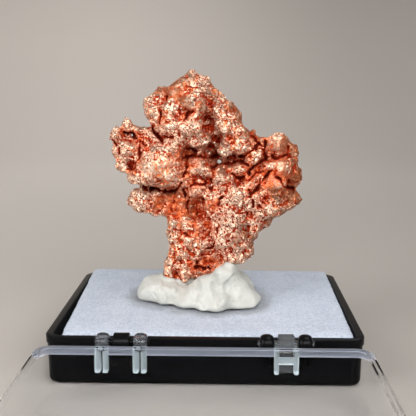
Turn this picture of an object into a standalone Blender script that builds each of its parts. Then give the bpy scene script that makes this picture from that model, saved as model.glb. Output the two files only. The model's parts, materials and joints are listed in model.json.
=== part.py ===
"""Native copper standing in mounting putty, on the foam pad of an open hinged specimen box.

Five pieces: the black tray, the clear lid, the foam pad, the putty and the copper.
Lengths are in metres, +Z is up, and the origin is at the centre of the tray's underside.
The viewer of the specimen stands at -Y, on the hinge side, with the lid laid open towards them.
"""

import math
import random

import bmesh
import bpy
from mathutils import Matrix, Vector

MM = 0.001

# Box: two halves from one mould, black for the tray and clear for the lid.
BOX_WIDTH = 83 * MM
BOX_DEPTH = 64 * MM
HALF_HEIGHT = 13 * MM
WALL = 2.0 * MM
FLOOR = 1.6 * MM
CORNER_RADIUS = 4 * MM
DRAFT = 0.5 * MM
RIM_BAND = 2.1 * MM
RIM_PROUD = 0.35 * MM
CORNER_STEPS = 5

# Hinge: each half has one tab with a cross pin, and one pair of ears with eyes.
HINGE_OFFSET = 2.75 * MM
HINGE_STATION = 20.7 * MM
KNUCKLE_SEGMENTS = 14
TAB_WIDTH = 4.1 * MM
TAB_RADIUS = 2.4 * MM
PIN_RADIUS = 1.0 * MM
PIN_REACH = 7.1 * MM
EAR_CENTRE = 4.8 * MM
EAR_HALF_WIDTH = 1.75 * MM
EAR_RADIUS = 2.4 * MM
EYE_RADIUS = 1.35 * MM
GUSSET_LENGTH = 7 * MM
GUSSET_PROUD = 1.5 * MM
TAB_GUSSET_WIDTH = 5.8 * MM
EAR_GUSSET_WIDTH = 3.2 * MM
HINGE_Y = -BOX_DEPTH / 2 - HINGE_OFFSET

# Latch, on the side away from the hinge: a hook to one side of the middle and a catch to the other.
LATCH_OFFSET = 4.2 * MM
LATCH_WIDTH = 5.6 * MM
HOOK_RISE = 3.4 * MM
HOOK_THICKNESS = 1.0 * MM
CATCH_DROP = 2.9 * MM

# Foam pad: it stands a little proud of the tray, more at the back than at the front.
GAP = 0.3 * MM
FOAM_INSET = 2.7 * MM
FOAM_FRONT_TOP = 13.3 * MM
FOAM_BACK_TOP = 15.2 * MM
FOAM_LEFT_RISE = 0.35 * MM
FOAM_EDGE_DROP = 0.5 * MM
FOAM_CELLS = (10, 8)

# Copper and putty.
COPPER_VOXEL = 0.75 * MM
COPPER_TRIANGLES = 4980
PUTTY_VOXEL = 0.9 * MM
PUTTY_TRIANGLES = 660
PUTTY_POCKET_TRIANGLES = 1100
PUTTY_POCKET_TOP_Z = 31
POCKET_CLEARANCE = 0.55 * MM
SPECIMEN_Y = 2 * MM
# A lump is a ball cut by a cube's six faces and by the eight faces across its corners, at these shares of
# its radius, and then swollen to its size again.
BLOCK_FACES = (0.70, 0.84)
BLOCK_CORNERS = (0.82, 0.97)
BLOCK_SWELL = 1.14

# The copper's lumps, in millimetres: x, y, z of the middle, half width, half depth, half height, and lean
# in degrees, anticlockwise for the viewer at -Y.
CROWN = (
    (-4.6, 0.5, 79.2, 1.5, 1.6, 1.8, 0),
    (-7.2, 0.5, 77.8, 1.5, 1.8, 1.2, 30),
    (-4.5, 0.0, 74.8, 6.2, 6.0, 4.6, 10),
    (-1.9, -0.5, 76.2, 2.4, 3.0, 2.0, -38),
    (-8.2, -1.5, 73.6, 3.6, 5.0, 3.4, 20),
    (-12.6, 0.5, 73.4, 2.2, 3.5, 2.8, 35),
    (-15.2, 0.5, 71.6, 2.8, 3.2, 2.2, 35),
    (-17.6, 0.0, 72.0, 1.1, 1.4, 1.1, 0),
    (-17.7, -0.5, 70.0, 1.0, 1.5, 1.0, 0),
    (-14.5, -2.5, 68.8, 3.2, 4.0, 2.6, 20),
    (-13.2, -2.5, 65.6, 3.0, 4.0, 2.3, -20),
    (-9.5, -4.0, 69.6, 3.6, 4.0, 2.8, 0),
    (-10.0, -4.0, 65.2, 3.8, 4.5, 3.0, 0),
    (-5.0, -5.0, 72.0, 3.2, 3.6, 2.0, 0),
    (-4.8, -5.5, 65.0, 4.0, 4.5, 3.0, -10),
    (-2.4, -5.0, 69.9, 2.8, 3.5, 2.2, 20),
    (-2.8, -4.6, 61.4, 3.8, 4.0, 2.6, 0),
    (-7.8, -5.0, 61.6, 3.2, 3.8, 2.2, 15),
    (2.2, 0.5, 72.9, 2.7, 4.5, 2.4, -40),
    (4.8, 0.5, 69.8, 2.8, 5.0, 2.8, -45),
    (3.4, -2.6, 69.0, 2.6, 4.0, 2.8, 0),
    (6.9, 0.0, 66.4, 2.4, 5.0, 3.4, -25),
    (5.0, -4.0, 65.2, 3.0, 4.0, 2.8, 0),
    (8.6, -3.0, 63.0, 3.2, 4.5, 2.8, -20),
    (10.4, 0.0, 61.4, 2.3, 4.5, 2.3, -35),
    (9.2, -3.8, 59.6, 2.8, 4.0, 2.4, 0),
    (12.5, -1.2, 59.0, 2.3, 3.5, 1.9, 35),
    (4.9, -3.8, 58.8, 2.4, 3.5, 2.5, 0),
    (13.4, 0.6, 63.0, 0.8, 1.0, 1.6, -25),
)
CENTRE = (
    (-2.6, -3.5, 53.8, 3.1, 4.0, 3.4, 0),
    (-1.7, -3.2, 56.6, 1.2, 1.5, 1.1, 0),
    (0.6, -3.0, 52.2, 1.9, 3.0, 2.4, 0),
    (1.9, -1.6, 54.0, 1.1, 2.0, 1.0, 0),
    (-2.8, -4.5, 46.9, 2.8, 3.0, 1.9, 20),
    (-7.3, -2.5, 46.9, 1.5, 2.0, 1.4, 0),
    (-5.4, -2.5, 50.3, 1.6, 3.0, 2.2, 0),
    (4.2, -3.8, 50.7, 3.6, 4.0, 3.2, 0),
    (6.2, -1.8, 53.3, 2.0, 3.0, 1.3, 0),
)
LEFT_ARM = (
    (-14.2, -5.5, 55.2, 7.4, 5.0, 4.2, 38),
    (-17.5, -5.0, 50.8, 5.0, 4.2, 2.7, 0),
    (-21.3, -4.0, 50.0, 1.8, 2.5, 1.4, -20),
    (-11.5, -5.5, 51.5, 4.0, 4.0, 3.0, 0),
    (-8.8, -4.8, 53.6, 2.6, 3.6, 3.2, 0),
    (-7.8, -4.5, 49.6, 2.0, 3.0, 1.8, 0),
    (-11.8, -4.5, 49.0, 2.6, 3.0, 1.5, 0),
    (-10.2, -5.0, 58.0, 3.4, 4.0, 2.8, 30),
    (-22.9, -1.5, 57.8, 3.3, 4.0, 3.1, -10),
    (-24.6, -1.0, 53.9, 2.2, 3.2, 2.5, 10),
    (-26.6, -0.5, 57.6, 1.3, 2.0, 2.2, 10),
    (-26.2, 0.0, 62.9, 1.9, 2.2, 1.9, 0),
    (-23.6, 0.0, 66.5, 1.1, 1.2, 1.1, 0),
    (-23.9, 0.0, 65.0, 1.0, 1.2, 1.4, 0),
    (-20.8, 0.5, 63.7, 3.0, 2.2, 1.3, -15),
    (-17.6, 0.5, 62.9, 2.4, 2.4, 1.7, -20),
    (-15.0, -0.5, 61.5, 2.6, 2.8, 1.5, -38),
    (-18.4, -0.8, 58.8, 3.6, 3.2, 1.6, 10),
    (-20.3, 0.0, 61.4, 0.9, 1.4, 1.2, 0),
    (-25.2, 0.3, 60.6, 1.4, 1.8, 1.3, 0),
)
LEFT_SPUR = (
    (-19.6, -1.0, 43.6, 3.3, 3.4, 2.9, 0),
    (-22.2, -0.5, 42.9, 1.6, 2.0, 1.5, 0),
    (-18.8, -1.5, 41.3, 2.4, 2.8, 1.6, 10),
    (-21.0, -0.5, 45.5, 1.5, 1.8, 1.2, 0),
    (-15.0, -0.5, 43.0, 2.8, 3.0, 2.6, 0),
    (-15.2, -1.0, 39.8, 1.8, 2.0, 1.5, 0),
    (-12.6, -0.8, 40.4, 1.9, 2.2, 1.8, 0),
    (-11.2, -0.3, 43.0, 2.6, 3.0, 2.8, 0),
)
TRUNK = (
    (-7.6, 0.5, 42.2, 4.2, 4.0, 4.2, 0),
    (-4.2, 0.5, 46.0, 3.4, 3.5, 3.4, 0),
    (-9.6, 0.0, 36.4, 2.3, 3.2, 2.3, 0),
    (-9.8, -0.3, 32.6, 2.2, 3.0, 2.4, 0),
    (-9.4, -0.3, 28.6, 2.1, 3.0, 2.5, 0),
    (-5.8, -0.8, 37.0, 3.0, 3.2, 3.0, 0),
    (-5.2, -1.6, 31.6, 2.7, 3.0, 2.7, 0),
    (-6.9, -1.2, 27.4, 2.7, 3.0, 2.4, 0),
    (-10.5, -1.2, 24.4, 2.1, 2.6, 2.7, 10),
    (-11.7, -1.6, 22.0, 1.5, 1.8, 1.6, 0),
    (-6.6, -2.6, 21.9, 1.7, 2.0, 3.6, -5),
    (-11.2, -1.4, 20.0, 1.6, 1.8, 2.4, 0),
    (-2.2, -0.7, 35.6, 2.7, 3.4, 2.9, 0),
    (-1.2, -1.4, 30.4, 2.6, 3.0, 2.7, 0),
    (-2.9, -1.0, 26.8, 2.5, 2.8, 2.0, 0),
    (1.6, -0.8, 27.4, 2.6, 3.0, 2.4, 0),
    (2.4, -0.3, 23.0, 2.2, 2.6, 3.6, 0),
)
RIGHT_PLATE = (
    (6.4, -5.5, 39.0, 5.2, 4.0, 5.2, 0),
    (4.6, -5.0, 33.6, 3.1, 3.6, 3.8, 0),
    (8.8, -5.2, 32.8, 4.1, 3.8, 4.0, 0),
    (8.4, -5.0, 28.2, 3.9, 3.4, 2.7, 0),
    (11.8, -4.2, 29.4, 1.9, 2.6, 2.4, 20),
    (12.6, -3.7, 36.0, 3.1, 3.6, 4.4, -15),
    (2.8, -4.5, 43.2, 3.5, 3.6, 3.8, -15),
    (8.0, -5.2, 45.0, 4.0, 3.8, 3.2, 0),
    (12.2, -4.7, 43.6, 3.2, 3.8, 3.0, 0),
    (16.4, -3.7, 41.0, 3.5, 3.6, 3.2, 20),
    (20.4, -2.2, 41.3, 2.7, 3.2, 2.2, 25),
    (16.4, -2.2, 37.6, 2.5, 3.0, 2.2, 38),
    (23.6, -1.6, 42.4, 2.3, 2.8, 1.8, 20),
    (25.6, -1.0, 44.2, 2.0, 2.4, 1.8, -30),
    (19.8, -3.6, 45.0, 2.4, 3.0, 1.8, 0),
    (23.2, -2.0, 45.6, 1.8, 2.4, 1.5, 0),
)
RIGHT_ARM = (
    (19.8, -4.2, 48.9, 2.8, 3.2, 2.5, 0),
    (16.3, -3.8, 47.2, 2.1, 3.0, 2.0, 30),
    (14.4, -3.4, 50.7, 2.3, 2.6, 1.3, 38),
    (9.6, -3.6, 52.8, 2.5, 2.8, 1.7, -15),
    (12.0, -4.2, 48.0, 2.3, 3.0, 1.9, 0),
    (21.4, -2.8, 53.5, 2.9, 3.6, 2.8, 0),
    (20.2, -1.4, 60.3, 3.1, 3.4, 3.1, 0),
    (13.5, -2.2, 56.3, 2.9, 3.0, 2.0, 38),
    (15.3, -1.8, 60.6, 1.2, 2.0, 1.6, 0),
    (24.9, -0.8, 56.6, 1.4, 2.4, 3.7, 0),
    (25.4, -0.9, 50.6, 1.9, 2.6, 2.9, 0),
    (17.5, -2.6, 53.5, 1.2, 2.4, 1.5, 40),
)
# The mass behind the lumps, which the crevices between them run down to.
CORE = (
    (-5.0, 1.8, 69.0, 9.0, 6.0, 7.4, 10),
    (3.6, 1.6, 65.6, 5.4, 5.0, 6.4, -20),
    (-8.0, 1.0, 60.5, 7.0, 4.6, 5.0, 0),
    (-2.6, 1.6, 57.2, 5.2, 3.8, 3.6, 0),
    (6.8, 2.2, 55.6, 3.8, 3.4, 3.4, 0),
    (-14.0, 0.6, 46.6, 4.2, 2.6, 2.6, 0),
    (-2.0, 0.2, 22.4, 4.2, 2.8, 3.8, 0),
    (4.4, -1.0, 24.6, 2.6, 2.6, 2.6, 0),
    (8.6, 1.4, 59.6, 4.6, 4.0, 3.2, 0),
    (-14.5, -0.5, 54.6, 8.0, 4.2, 4.6, 25),
    (-22.8, 0.8, 56.6, 3.6, 3.0, 4.6, 0),
    (-4.4, 1.2, 52.0, 5.2, 4.0, 5.4, 0),
    (-15.5, 0.8, 43.0, 6.2, 3.0, 2.4, 0),
    (-5.0, 1.6, 43.0, 7.0, 3.8, 6.6, 0),
    (-5.6, 1.4, 33.0, 5.4, 3.4, 7.6, 0),
    (-6.0, 0.6, 26.0, 5.0, 2.8, 3.2, 0),
    (5.2, 0.2, 47.0, 6.6, 4.0, 5.4, 0),
    (5.0, 0.0, 37.0, 7.2, 4.2, 8.6, 0),
    (6.4, -1.4, 30.4, 4.8, 3.4, 4.0, 0),
    (13.6, 0.6, 42.0, 6.0, 3.4, 5.0, 25),
    (20.4, 0.8, 43.6, 5.0, 2.8, 2.6, 10),
    (13.4, 1.0, 52.6, 6.4, 3.2, 5.2, 30),
    (20.6, 0.8, 51.0, 4.6, 2.8, 4.8, 0),
    (20.2, 1.2, 57.4, 4.4, 2.8, 4.0, 0),
    (1.0, 0.8, 27.0, 3.6, 2.8, 2.8, 0),
)
# The largest lumps on the side away from the viewer.
BACK = (
    (-6.5, 8.0, 70.5, 5.5, 3.6, 5.0, 15),
    (3.5, 7.5, 66.0, 4.4, 3.4, 4.8, -25),
    (-13.5, 6.5, 55.5, 5.2, 3.4, 4.0, 30),
    (-2.5, 8.0, 57.5, 4.6, 3.6, 4.4, 0),
    (8.5, 6.5, 50.5, 5.0, 3.4, 4.2, 20),
    (18.5, 5.0, 52.5, 3.6, 3.0, 4.0, -10),
    (-4.5, 7.0, 45.0, 4.6, 3.2, 4.6, 0),
    (5.5, 5.5, 37.5, 4.6, 3.2, 5.0, 10),
)
COPPER_GROUPS = (CROWN, CENTRE, LEFT_ARM, LEFT_SPUR, TRUNK, RIGHT_PLATE, RIGHT_ARM)
# Smaller ones stand behind those in front. They go further back towards the crown.
ECHO_SMALLEST = 2.2
ECHO_DEPTH_AT_FOOT = 3.0
ECHO_DEPTH_PER_MM = 0.045
ECHO_SHIFT = 1.3
ECHO_SIZE = (0.7, 0.95)
ECHO_LEAN = 25
FOOT_Z = 20
SEED = 29

# The putty's lumps, in the same form as the copper's.
PUTTY = (
    (-15.0, -1.0, 15.4, 5.7, 9.8, 5.2, 12),
    (-11.2, -1.6, 15.6, 4.8, 9.6, 5.2, 0),
    (-5.8, -3.0, 14.2, 4.9, 11.4, 3.8, 0),
    (-1.2, -3.6, 15.0, 4.4, 12.4, 4.8, 0),
    (4.2, -4.8, 15.0, 5.8, 11.8, 5.2, 0),
    (5.8, -5.6, 20.4, 3.5, 5.4, 5.7, -6),
    (8.4, -4.6, 16.8, 3.2, 7.0, 5.2, -30),
    (10.2, -3.8, 15.0, 6.3, 10.4, 4.4, -34),
    (-8.0, 4.0, 16.0, 10.0, 7.0, 5.0, 0),
    (5.0, 4.0, 16.2, 9.0, 6.5, 5.6, -8),
)


def clear_scene():
    for leftover in list(bpy.data.objects):
        bpy.data.objects.remove(leftover)


def material(name, colour, roughness, metallic=0.0, transmission=0.0):
    made = bpy.data.materials.new(name)
    made.use_nodes = True
    shader = made.node_tree.nodes["Principled BSDF"]
    shader.inputs["Base Color"].default_value = (*colour, 1)
    shader.inputs["Roughness"].default_value = roughness
    shader.inputs["Metallic"].default_value = metallic
    shader.inputs["Transmission Weight"].default_value = transmission
    return made


def object_from(name, shape, finish=None):
    """Makes an object of a bmesh, which it frees."""
    bmesh.ops.recalc_face_normals(shape, faces=shape.faces)
    mesh = bpy.data.meshes.new(name)
    shape.to_mesh(mesh)
    shape.free()
    made = bpy.data.objects.new(name, mesh)
    bpy.context.scene.collection.objects.link(made)
    if finish:
        mesh.materials.append(finish)
    return made


def as_tool(shape_object):
    shape_object.hide_render = True
    shape_object.display_type = "WIRE"
    return shape_object


def add_boolean(target, tool, operation):
    step = target.modifiers.new(f"{operation.lower()}_{tool.name}", "BOOLEAN")
    step.operation = operation
    step.solver = "EXACT"
    step.object = as_tool(tool)


# --- box halves ---------------------------------------------------------------------------------


def rounded_loop(shape, half_x, half_y, radius, z):
    """A ring of vertices round a rectangle with rounded corners."""
    ring = []
    for quarter, (sx, sy) in enumerate(((1, 1), (-1, 1), (-1, -1), (1, -1))):
        for step in range(CORNER_STEPS + 1):
            angle = math.radians(90 * (quarter + step / CORNER_STEPS))
            x = sx * (half_x - radius) + radius * math.cos(angle)
            y = sy * (half_y - radius) + radius * math.sin(angle)
            ring.append(shape.verts.new((x, y, z)))
    return ring


def bridge(shape, lower, upper):
    count = len(lower)
    for i in range(count):
        j = (i + 1) % count
        shape.faces.new((lower[i], lower[j], upper[j], upper[i]))


def half_shell(name):
    """The open box of one half: drafted walls, rounded edges and a proud band round the rim."""
    band_foot = HALF_HEIGHT - RIM_BAND
    profile = (
        (2.0 * MM, 0.0),
        (1.15 * MM, 0.3 * MM),
        (0.7 * MM, 0.9 * MM),
        (DRAFT, 1.9 * MM),
        (RIM_PROUD, band_foot - 0.2 * MM),
        (0.0, band_foot + 0.1 * MM),
        (0.0, HALF_HEIGHT - 0.2 * MM),
        (0.2 * MM, HALF_HEIGHT),
        (WALL, HALF_HEIGHT),
        (WALL + 0.3 * MM, FLOOR + 0.9 * MM),
        (WALL + 1.1 * MM, FLOOR),
    )
    shape = bmesh.new()
    rings = []
    for inset, z in profile:
        radius = max(CORNER_RADIUS - inset, 1.2 * MM)
        rings.append(rounded_loop(shape, BOX_WIDTH / 2 - inset, BOX_DEPTH / 2 - inset, radius, z))
    for lower, upper in zip(rings, rings[1:]):
        bridge(shape, lower, upper)
    shape.faces.new(rings[0])
    shape.faces.new(rings[-1])
    return object_from(name, shape)


def block(name, low, high, bevel=0.0, bevelled=None):
    """A box between two corners, with the edges that bevelled(edge) picks rounded."""
    shape = bmesh.new()
    size = Vector(high) - Vector(low)
    middle = (Vector(high) + Vector(low)) / 2
    placed = Matrix.Translation(middle) @ Matrix.Diagonal((*size, 1))
    bmesh.ops.create_cube(shape, size=1, matrix=placed)
    if bevel:
        picked = [e for e in shape.edges if bevelled is None or bevelled(e)]
        bmesh.ops.bevel(
            shape, geom=picked, offset=bevel, segments=3, profile=0.5, affect="EDGES", clamp_overlap=True
        )
    return object_from(name, shape)


def turned(name, profile, station, segments):
    """A closed outline of (x, radius) points turned round the hinge line, at one station along it."""
    shape = bmesh.new()
    rings = []
    for step in range(segments):
        angle = 2 * math.pi * step / segments
        ring = []
        for x, radius in profile:
            y = HINGE_Y + radius * math.cos(angle)
            z = HALF_HEIGHT + radius * math.sin(angle)
            ring.append(shape.verts.new((station + x, y, z)))
        rings.append(ring)
    for first, second in zip(rings, rings[1:] + rings[:1]):
        bridge(shape, first, second)
    bmesh.ops.remove_doubles(shape, verts=shape.verts, dist=1e-6)
    degenerate = [f for f in shape.faces if f.calc_area() < 1e-14]
    bmesh.ops.delete(shape, geom=degenerate, context="FACES")
    return object_from(name, shape)


def lower_outer_edge(wall_y):
    """Picks a gusset's edges away from the wall, and those round its foot."""

    def picked(edge):
        return min(v.co.y for v in edge.verts) < wall_y - GUSSET_PROUD / 2

    return picked


def gusset(name, station, width):
    """The rib down the outside of the wall that carries an ear or a tab."""
    wall_y = -BOX_DEPTH / 2 + DRAFT
    low = (station - width / 2, wall_y - GUSSET_PROUD - DRAFT, HALF_HEIGHT - GUSSET_LENGTH)
    high = (station + width / 2, wall_y + 0.6 * MM, HALF_HEIGHT - 0.35 * MM)
    return block(name, low, high, 0.5 * MM, lower_outer_edge(wall_y))


def arm(name, station, width, stop):
    """The short bridge from the wall to the hinge line, which ends that far from the line."""
    low = (station - width / 2, HINGE_Y + stop, HALF_HEIGHT - 1.6 * MM)
    high = (station + width / 2, -BOX_DEPTH / 2 + 0.6 * MM, HALF_HEIGHT - 0.45 * MM)
    return block(name, low, high)


def tab_with_pin(name, station):
    """The tab's outline: a drum with a thinner pin out of each side, its ends rounded."""
    half = TAB_WIDTH / 2
    profile = (
        (-PIN_REACH, 0.0),
        (-PIN_REACH, 0.5 * PIN_RADIUS),
        (-PIN_REACH + 0.4 * MM, PIN_RADIUS),
        (-half, PIN_RADIUS),
        (-half, TAB_RADIUS - 0.3 * MM),
        (-half + 0.3 * MM, TAB_RADIUS),
        (half - 0.3 * MM, TAB_RADIUS),
        (half, TAB_RADIUS - 0.3 * MM),
        (half, PIN_RADIUS),
        (PIN_REACH - 0.4 * MM, PIN_RADIUS),
        (PIN_REACH, 0.5 * PIN_RADIUS),
        (PIN_REACH, 0.0),
    )
    return turned(name, profile, station, KNUCKLE_SEGMENTS)


def ear(name, station):
    """A ring with well rounded shoulders, so that it looks like a bead on the pin."""
    profile = (
        (-EAR_HALF_WIDTH, EYE_RADIUS),
        (-EAR_HALF_WIDTH, EAR_RADIUS - 0.7 * MM),
        (-EAR_HALF_WIDTH + 0.25 * MM, EAR_RADIUS - 0.3 * MM),
        (-EAR_HALF_WIDTH + 0.8 * MM, EAR_RADIUS),
        (EAR_HALF_WIDTH - 0.8 * MM, EAR_RADIUS),
        (EAR_HALF_WIDTH - 0.25 * MM, EAR_RADIUS - 0.3 * MM),
        (EAR_HALF_WIDTH, EAR_RADIUS - 0.7 * MM),
        (EAR_HALF_WIDTH, EYE_RADIUS),
    )
    return turned(name, profile, station, KNUCKLE_SEGMENTS)


def latch_hook(name):
    """A tongue that stands above the rim, with a barb that faces in."""
    outer_y = BOX_DEPTH / 2
    low_z = HALF_HEIGHT - 6 * MM
    top_z = HALF_HEIGHT + HOOK_RISE
    x0 = LATCH_OFFSET - LATCH_WIDTH / 2
    outline = (
        (outer_y - 0.6 * MM, low_z),
        (outer_y + 0.35 * MM, low_z),
        (outer_y + 0.35 * MM + HOOK_THICKNESS, low_z + 1.2 * MM),
        (outer_y + 0.35 * MM + HOOK_THICKNESS, top_z - 0.5 * MM),
        (outer_y + 0.7 * HOOK_THICKNESS, top_z),
        (outer_y - 0.1 * MM, top_z - 0.9 * MM),
        (outer_y + 0.35 * MM, top_z - 1.3 * MM),
        (outer_y + 0.35 * MM, HALF_HEIGHT - 2.4 * MM),
        (outer_y - 0.6 * MM, HALF_HEIGHT - 2.4 * MM),
    )
    return prism(name, outline, x0, x0 + LATCH_WIDTH)


def latch_catch(name):
    """A wedge on the wall that the other half's barb snaps behind."""
    outer_y = BOX_DEPTH / 2
    top_z = HALF_HEIGHT - CATCH_DROP + 1.1 * MM
    x0 = -LATCH_OFFSET - LATCH_WIDTH / 2 + 0.4 * MM
    outline = (
        (outer_y - 0.9 * MM, top_z - 1.4 * MM),
        (outer_y - 0.1 * MM, top_z - 1.4 * MM),
        (outer_y + 0.55 * MM, top_z - 1.0 * MM),
        (outer_y + 0.1 * MM, top_z + 0.2 * MM),
        (outer_y - 0.9 * MM, top_z + 0.2 * MM),
    )
    return prism(name, outline, x0, x0 + LATCH_WIDTH - 0.8 * MM)


def prism(name, outline, x0, x1):
    """An outline of (y, z) points carried along X."""
    shape = bmesh.new()
    near = [shape.verts.new((x0, y, z)) for y, z in outline]
    far = [shape.verts.new((x1, y, z)) for y, z in outline]
    bridge(shape, near, far)
    shape.faces.new(near)
    shape.faces.new(far)
    return object_from(name, shape)


def box_half(name, finish):
    """One moulding: the open box, its hinge tab on the left, its ears on the right and its latch behind."""
    half = half_shell(name)
    half.data.materials.append(finish)
    tools = [
        gusset(f"{name}_tab_gusset", -HINGE_STATION, TAB_GUSSET_WIDTH),
        arm(f"{name}_tab_arm", -HINGE_STATION, TAB_WIDTH - 0.2 * MM, 0.6 * MM),
        tab_with_pin(f"{name}_tab", -HINGE_STATION),
        latch_hook(f"{name}_hook"),
        latch_catch(f"{name}_catch"),
    ]
    for label, side in (("inner", -1), ("outer", 1)):
        station = HINGE_STATION + side * EAR_CENTRE
        tools += [
            gusset(f"{name}_{label}_ear_gusset", station, EAR_GUSSET_WIDTH),
            arm(f"{name}_{label}_ear_arm", station, EAR_GUSSET_WIDTH - 0.2 * MM, 1.55 * MM),
            ear(f"{name}_{label}_ear", station),
        ]
    for tool in tools:
        add_boolean(half, tool, "UNION")
    return half


def lay_open(half):
    """Turns a half round the upright line through the middle of the hinge: the lid, laid open and flat."""
    bpy.context.view_layer.update()
    graph = bpy.context.evaluated_depsgraph_get()
    mesh = bpy.data.meshes.new_from_object(half.evaluated_get(graph))
    turn = (
        Matrix.Translation((0, HINGE_Y, 0))
        @ Matrix.Rotation(math.pi, 4, "Z")
        @ Matrix.Translation((0, -HINGE_Y, 0))
    )
    mesh.transform(turn)
    half.modifiers.clear()
    half.data = mesh


# --- foam ---------------------------------------------------------------------------------------


def foam_top(x, y):
    """Height of the pad's top: it slopes up to the back, a little more on the left."""
    back = (y + BOX_DEPTH / 2) / BOX_DEPTH
    left = 0.5 - x / BOX_WIDTH
    edge = max(abs(x) / (BOX_WIDTH / 2 - FOAM_INSET), abs(y) / (BOX_DEPTH / 2 - FOAM_INSET))
    rounding = FOAM_EDGE_DROP * max(0.0, (edge - 0.93) / 0.07) ** 2
    return FOAM_FRONT_TOP + (FOAM_BACK_TOP - FOAM_FRONT_TOP) * back + FOAM_LEFT_RISE * left * back - rounding


def foam_solid(name, raised, bottom):
    """The pad, or with raised above nothing the space that the putty has to keep out of."""
    nx, ny = FOAM_CELLS
    half_x = BOX_WIDTH / 2 - FOAM_INSET
    half_y = BOX_DEPTH / 2 - FOAM_INSET
    shape = bmesh.new()
    top = []
    for j in range(ny + 1):
        row = []
        for i in range(nx + 1):
            u, v = 2 * i / nx - 1, 2 * j / ny - 1
            x, y = half_x * math.sin(u * math.pi / 2), half_y * math.sin(v * math.pi / 2)
            row.append(shape.verts.new((x, y, foam_top(x, y) + raised)))
        top.append(row)
    for j in range(ny):
        for i in range(nx):
            shape.faces.new((top[j][i], top[j][i + 1], top[j + 1][i + 1], top[j + 1][i]))
    border = top[0] + [row[-1] for row in top[1:]] + top[-1][-2::-1] + [row[0] for row in top[-2:0:-1]]
    foot = []
    for vertex in border:
        foot.append(shape.verts.new((vertex.co.x, vertex.co.y, bottom + 1.4 * MM)))
    base = []
    for vertex in foot:
        base.append(shape.verts.new((vertex.co.x * 0.975, vertex.co.y * 0.97, bottom)))
    bridge(shape, foot, border)
    bridge(shape, base, foot)
    shape.faces.new(base)
    return object_from(name, shape)


def round_foam_corners(foam):
    """Cuts the pad's upright corners round, so that it fits the tray's."""
    shape = bmesh.new()
    half_x = BOX_WIDTH / 2 - FOAM_INSET + 1 * MM
    half_y = BOX_DEPTH / 2 - FOAM_INSET + 1 * MM
    low = rounded_loop(shape, half_x, half_y, 4 * MM, 0)
    high = rounded_loop(shape, half_x, half_y, 4 * MM, 40 * MM)
    bridge(shape, low, high)
    shape.faces.new(low)
    shape.faces.new(high)
    add_boolean(foam, object_from("foam_corner_gauge", shape), "INTERSECT")


# --- copper and putty ---------------------------------------------------------------------------


def crystal_planes(lump):
    """Unit normals and distances of a worn cube's faces and cut corners, turned as the lump's own seed says."""
    rng = random.Random(repr(lump))
    turn = Matrix.Rotation(rng.uniform(0, math.tau), 3, "Z") @ Matrix.Rotation(rng.uniform(0, math.tau), 3, "X")
    planes = []
    for axis in range(3):
        for sign in (-1, 1):
            normal = Vector((0, 0, 0))
            normal[axis] = sign
            planes.append((turn @ normal, rng.uniform(*BLOCK_FACES)))
    for sx in (-1, 1):
        for sy in (-1, 1):
            for sz in (-1, 1):
                planes.append((turn @ Vector((sx, sy, sz)).normalized(), rng.uniform(*BLOCK_CORNERS)))
    return planes


def add_lump(shape, lump, grown=0.0, divisions=3):
    """Adds one crystal block to a bmesh: a ball cut by crystal planes, stretched and leaned."""
    x, y, z, half_x, half_y, half_z, lean = lump
    planes = crystal_planes(lump)
    ball = bmesh.ops.create_icosphere(shape, subdivisions=divisions, radius=1)
    stretch = Matrix.Diagonal((half_x * MM + grown, half_y * MM + grown, half_z * MM + grown, 1))
    placed = (
        Matrix.Translation(Vector((x * MM, y * MM + SPECIMEN_Y, z * MM)))
        @ Matrix.Rotation(math.radians(-lean), 4, "Y")
        @ stretch
    )
    for vertex in ball["verts"]:
        direction = vertex.co.normalized()
        reach = 1.0
        for normal, distance in planes:
            facing = normal.dot(direction)
            if facing > 0:
                reach = min(reach, distance / facing)
        vertex.co = placed @ (direction * reach * BLOCK_SWELL)


def echo_lumps():
    """Lumps for the side away from the viewer, each set behind one of the larger of those in front."""
    rng = random.Random(SEED)
    made = []
    for x, y, z, half_x, half_y, half_z, lean in sum(COPPER_GROUPS, ()):
        if min(half_x, half_z) < ECHO_SMALLEST:
            continue
        depth = ECHO_DEPTH_AT_FOOT + ECHO_DEPTH_PER_MM * (z - FOOT_Z)
        made.append(
            (
                x + rng.uniform(-ECHO_SHIFT, ECHO_SHIFT),
                y * 0.25 + depth + rng.uniform(-ECHO_SHIFT, ECHO_SHIFT),
                z + rng.uniform(-ECHO_SHIFT, ECHO_SHIFT),
                half_x * rng.uniform(*ECHO_SIZE),
                half_y * rng.uniform(*ECHO_SIZE),
                half_z * rng.uniform(*ECHO_SIZE),
                lean + rng.uniform(-ECHO_LEAN, ECHO_LEAN),
            )
        )
    return tuple(made)


def fused(name, lumps, voxel, triangles, finish=None, grown=0.0):
    """Joins lumps into one closed solid of about that many flat faces."""
    shape = bmesh.new()
    for lump in lumps:
        add_lump(shape, lump, grown)
    made = object_from(name, shape, finish)
    remesh = made.modifiers.new("fuse", "REMESH")
    remesh.mode = "VOXEL"
    remesh.voxel_size = voxel
    bpy.context.view_layer.update()
    graph = bpy.context.evaluated_depsgraph_get()
    dense = made.evaluated_get(graph).to_mesh()
    dense_triangles = sum(len(polygon.vertices) - 2 for polygon in dense.polygons)
    made.evaluated_get(graph).to_mesh_clear()
    facets = made.modifiers.new("facets", "DECIMATE")
    facets.ratio = min(1.0, triangles / dense_triangles)
    return made


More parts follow.
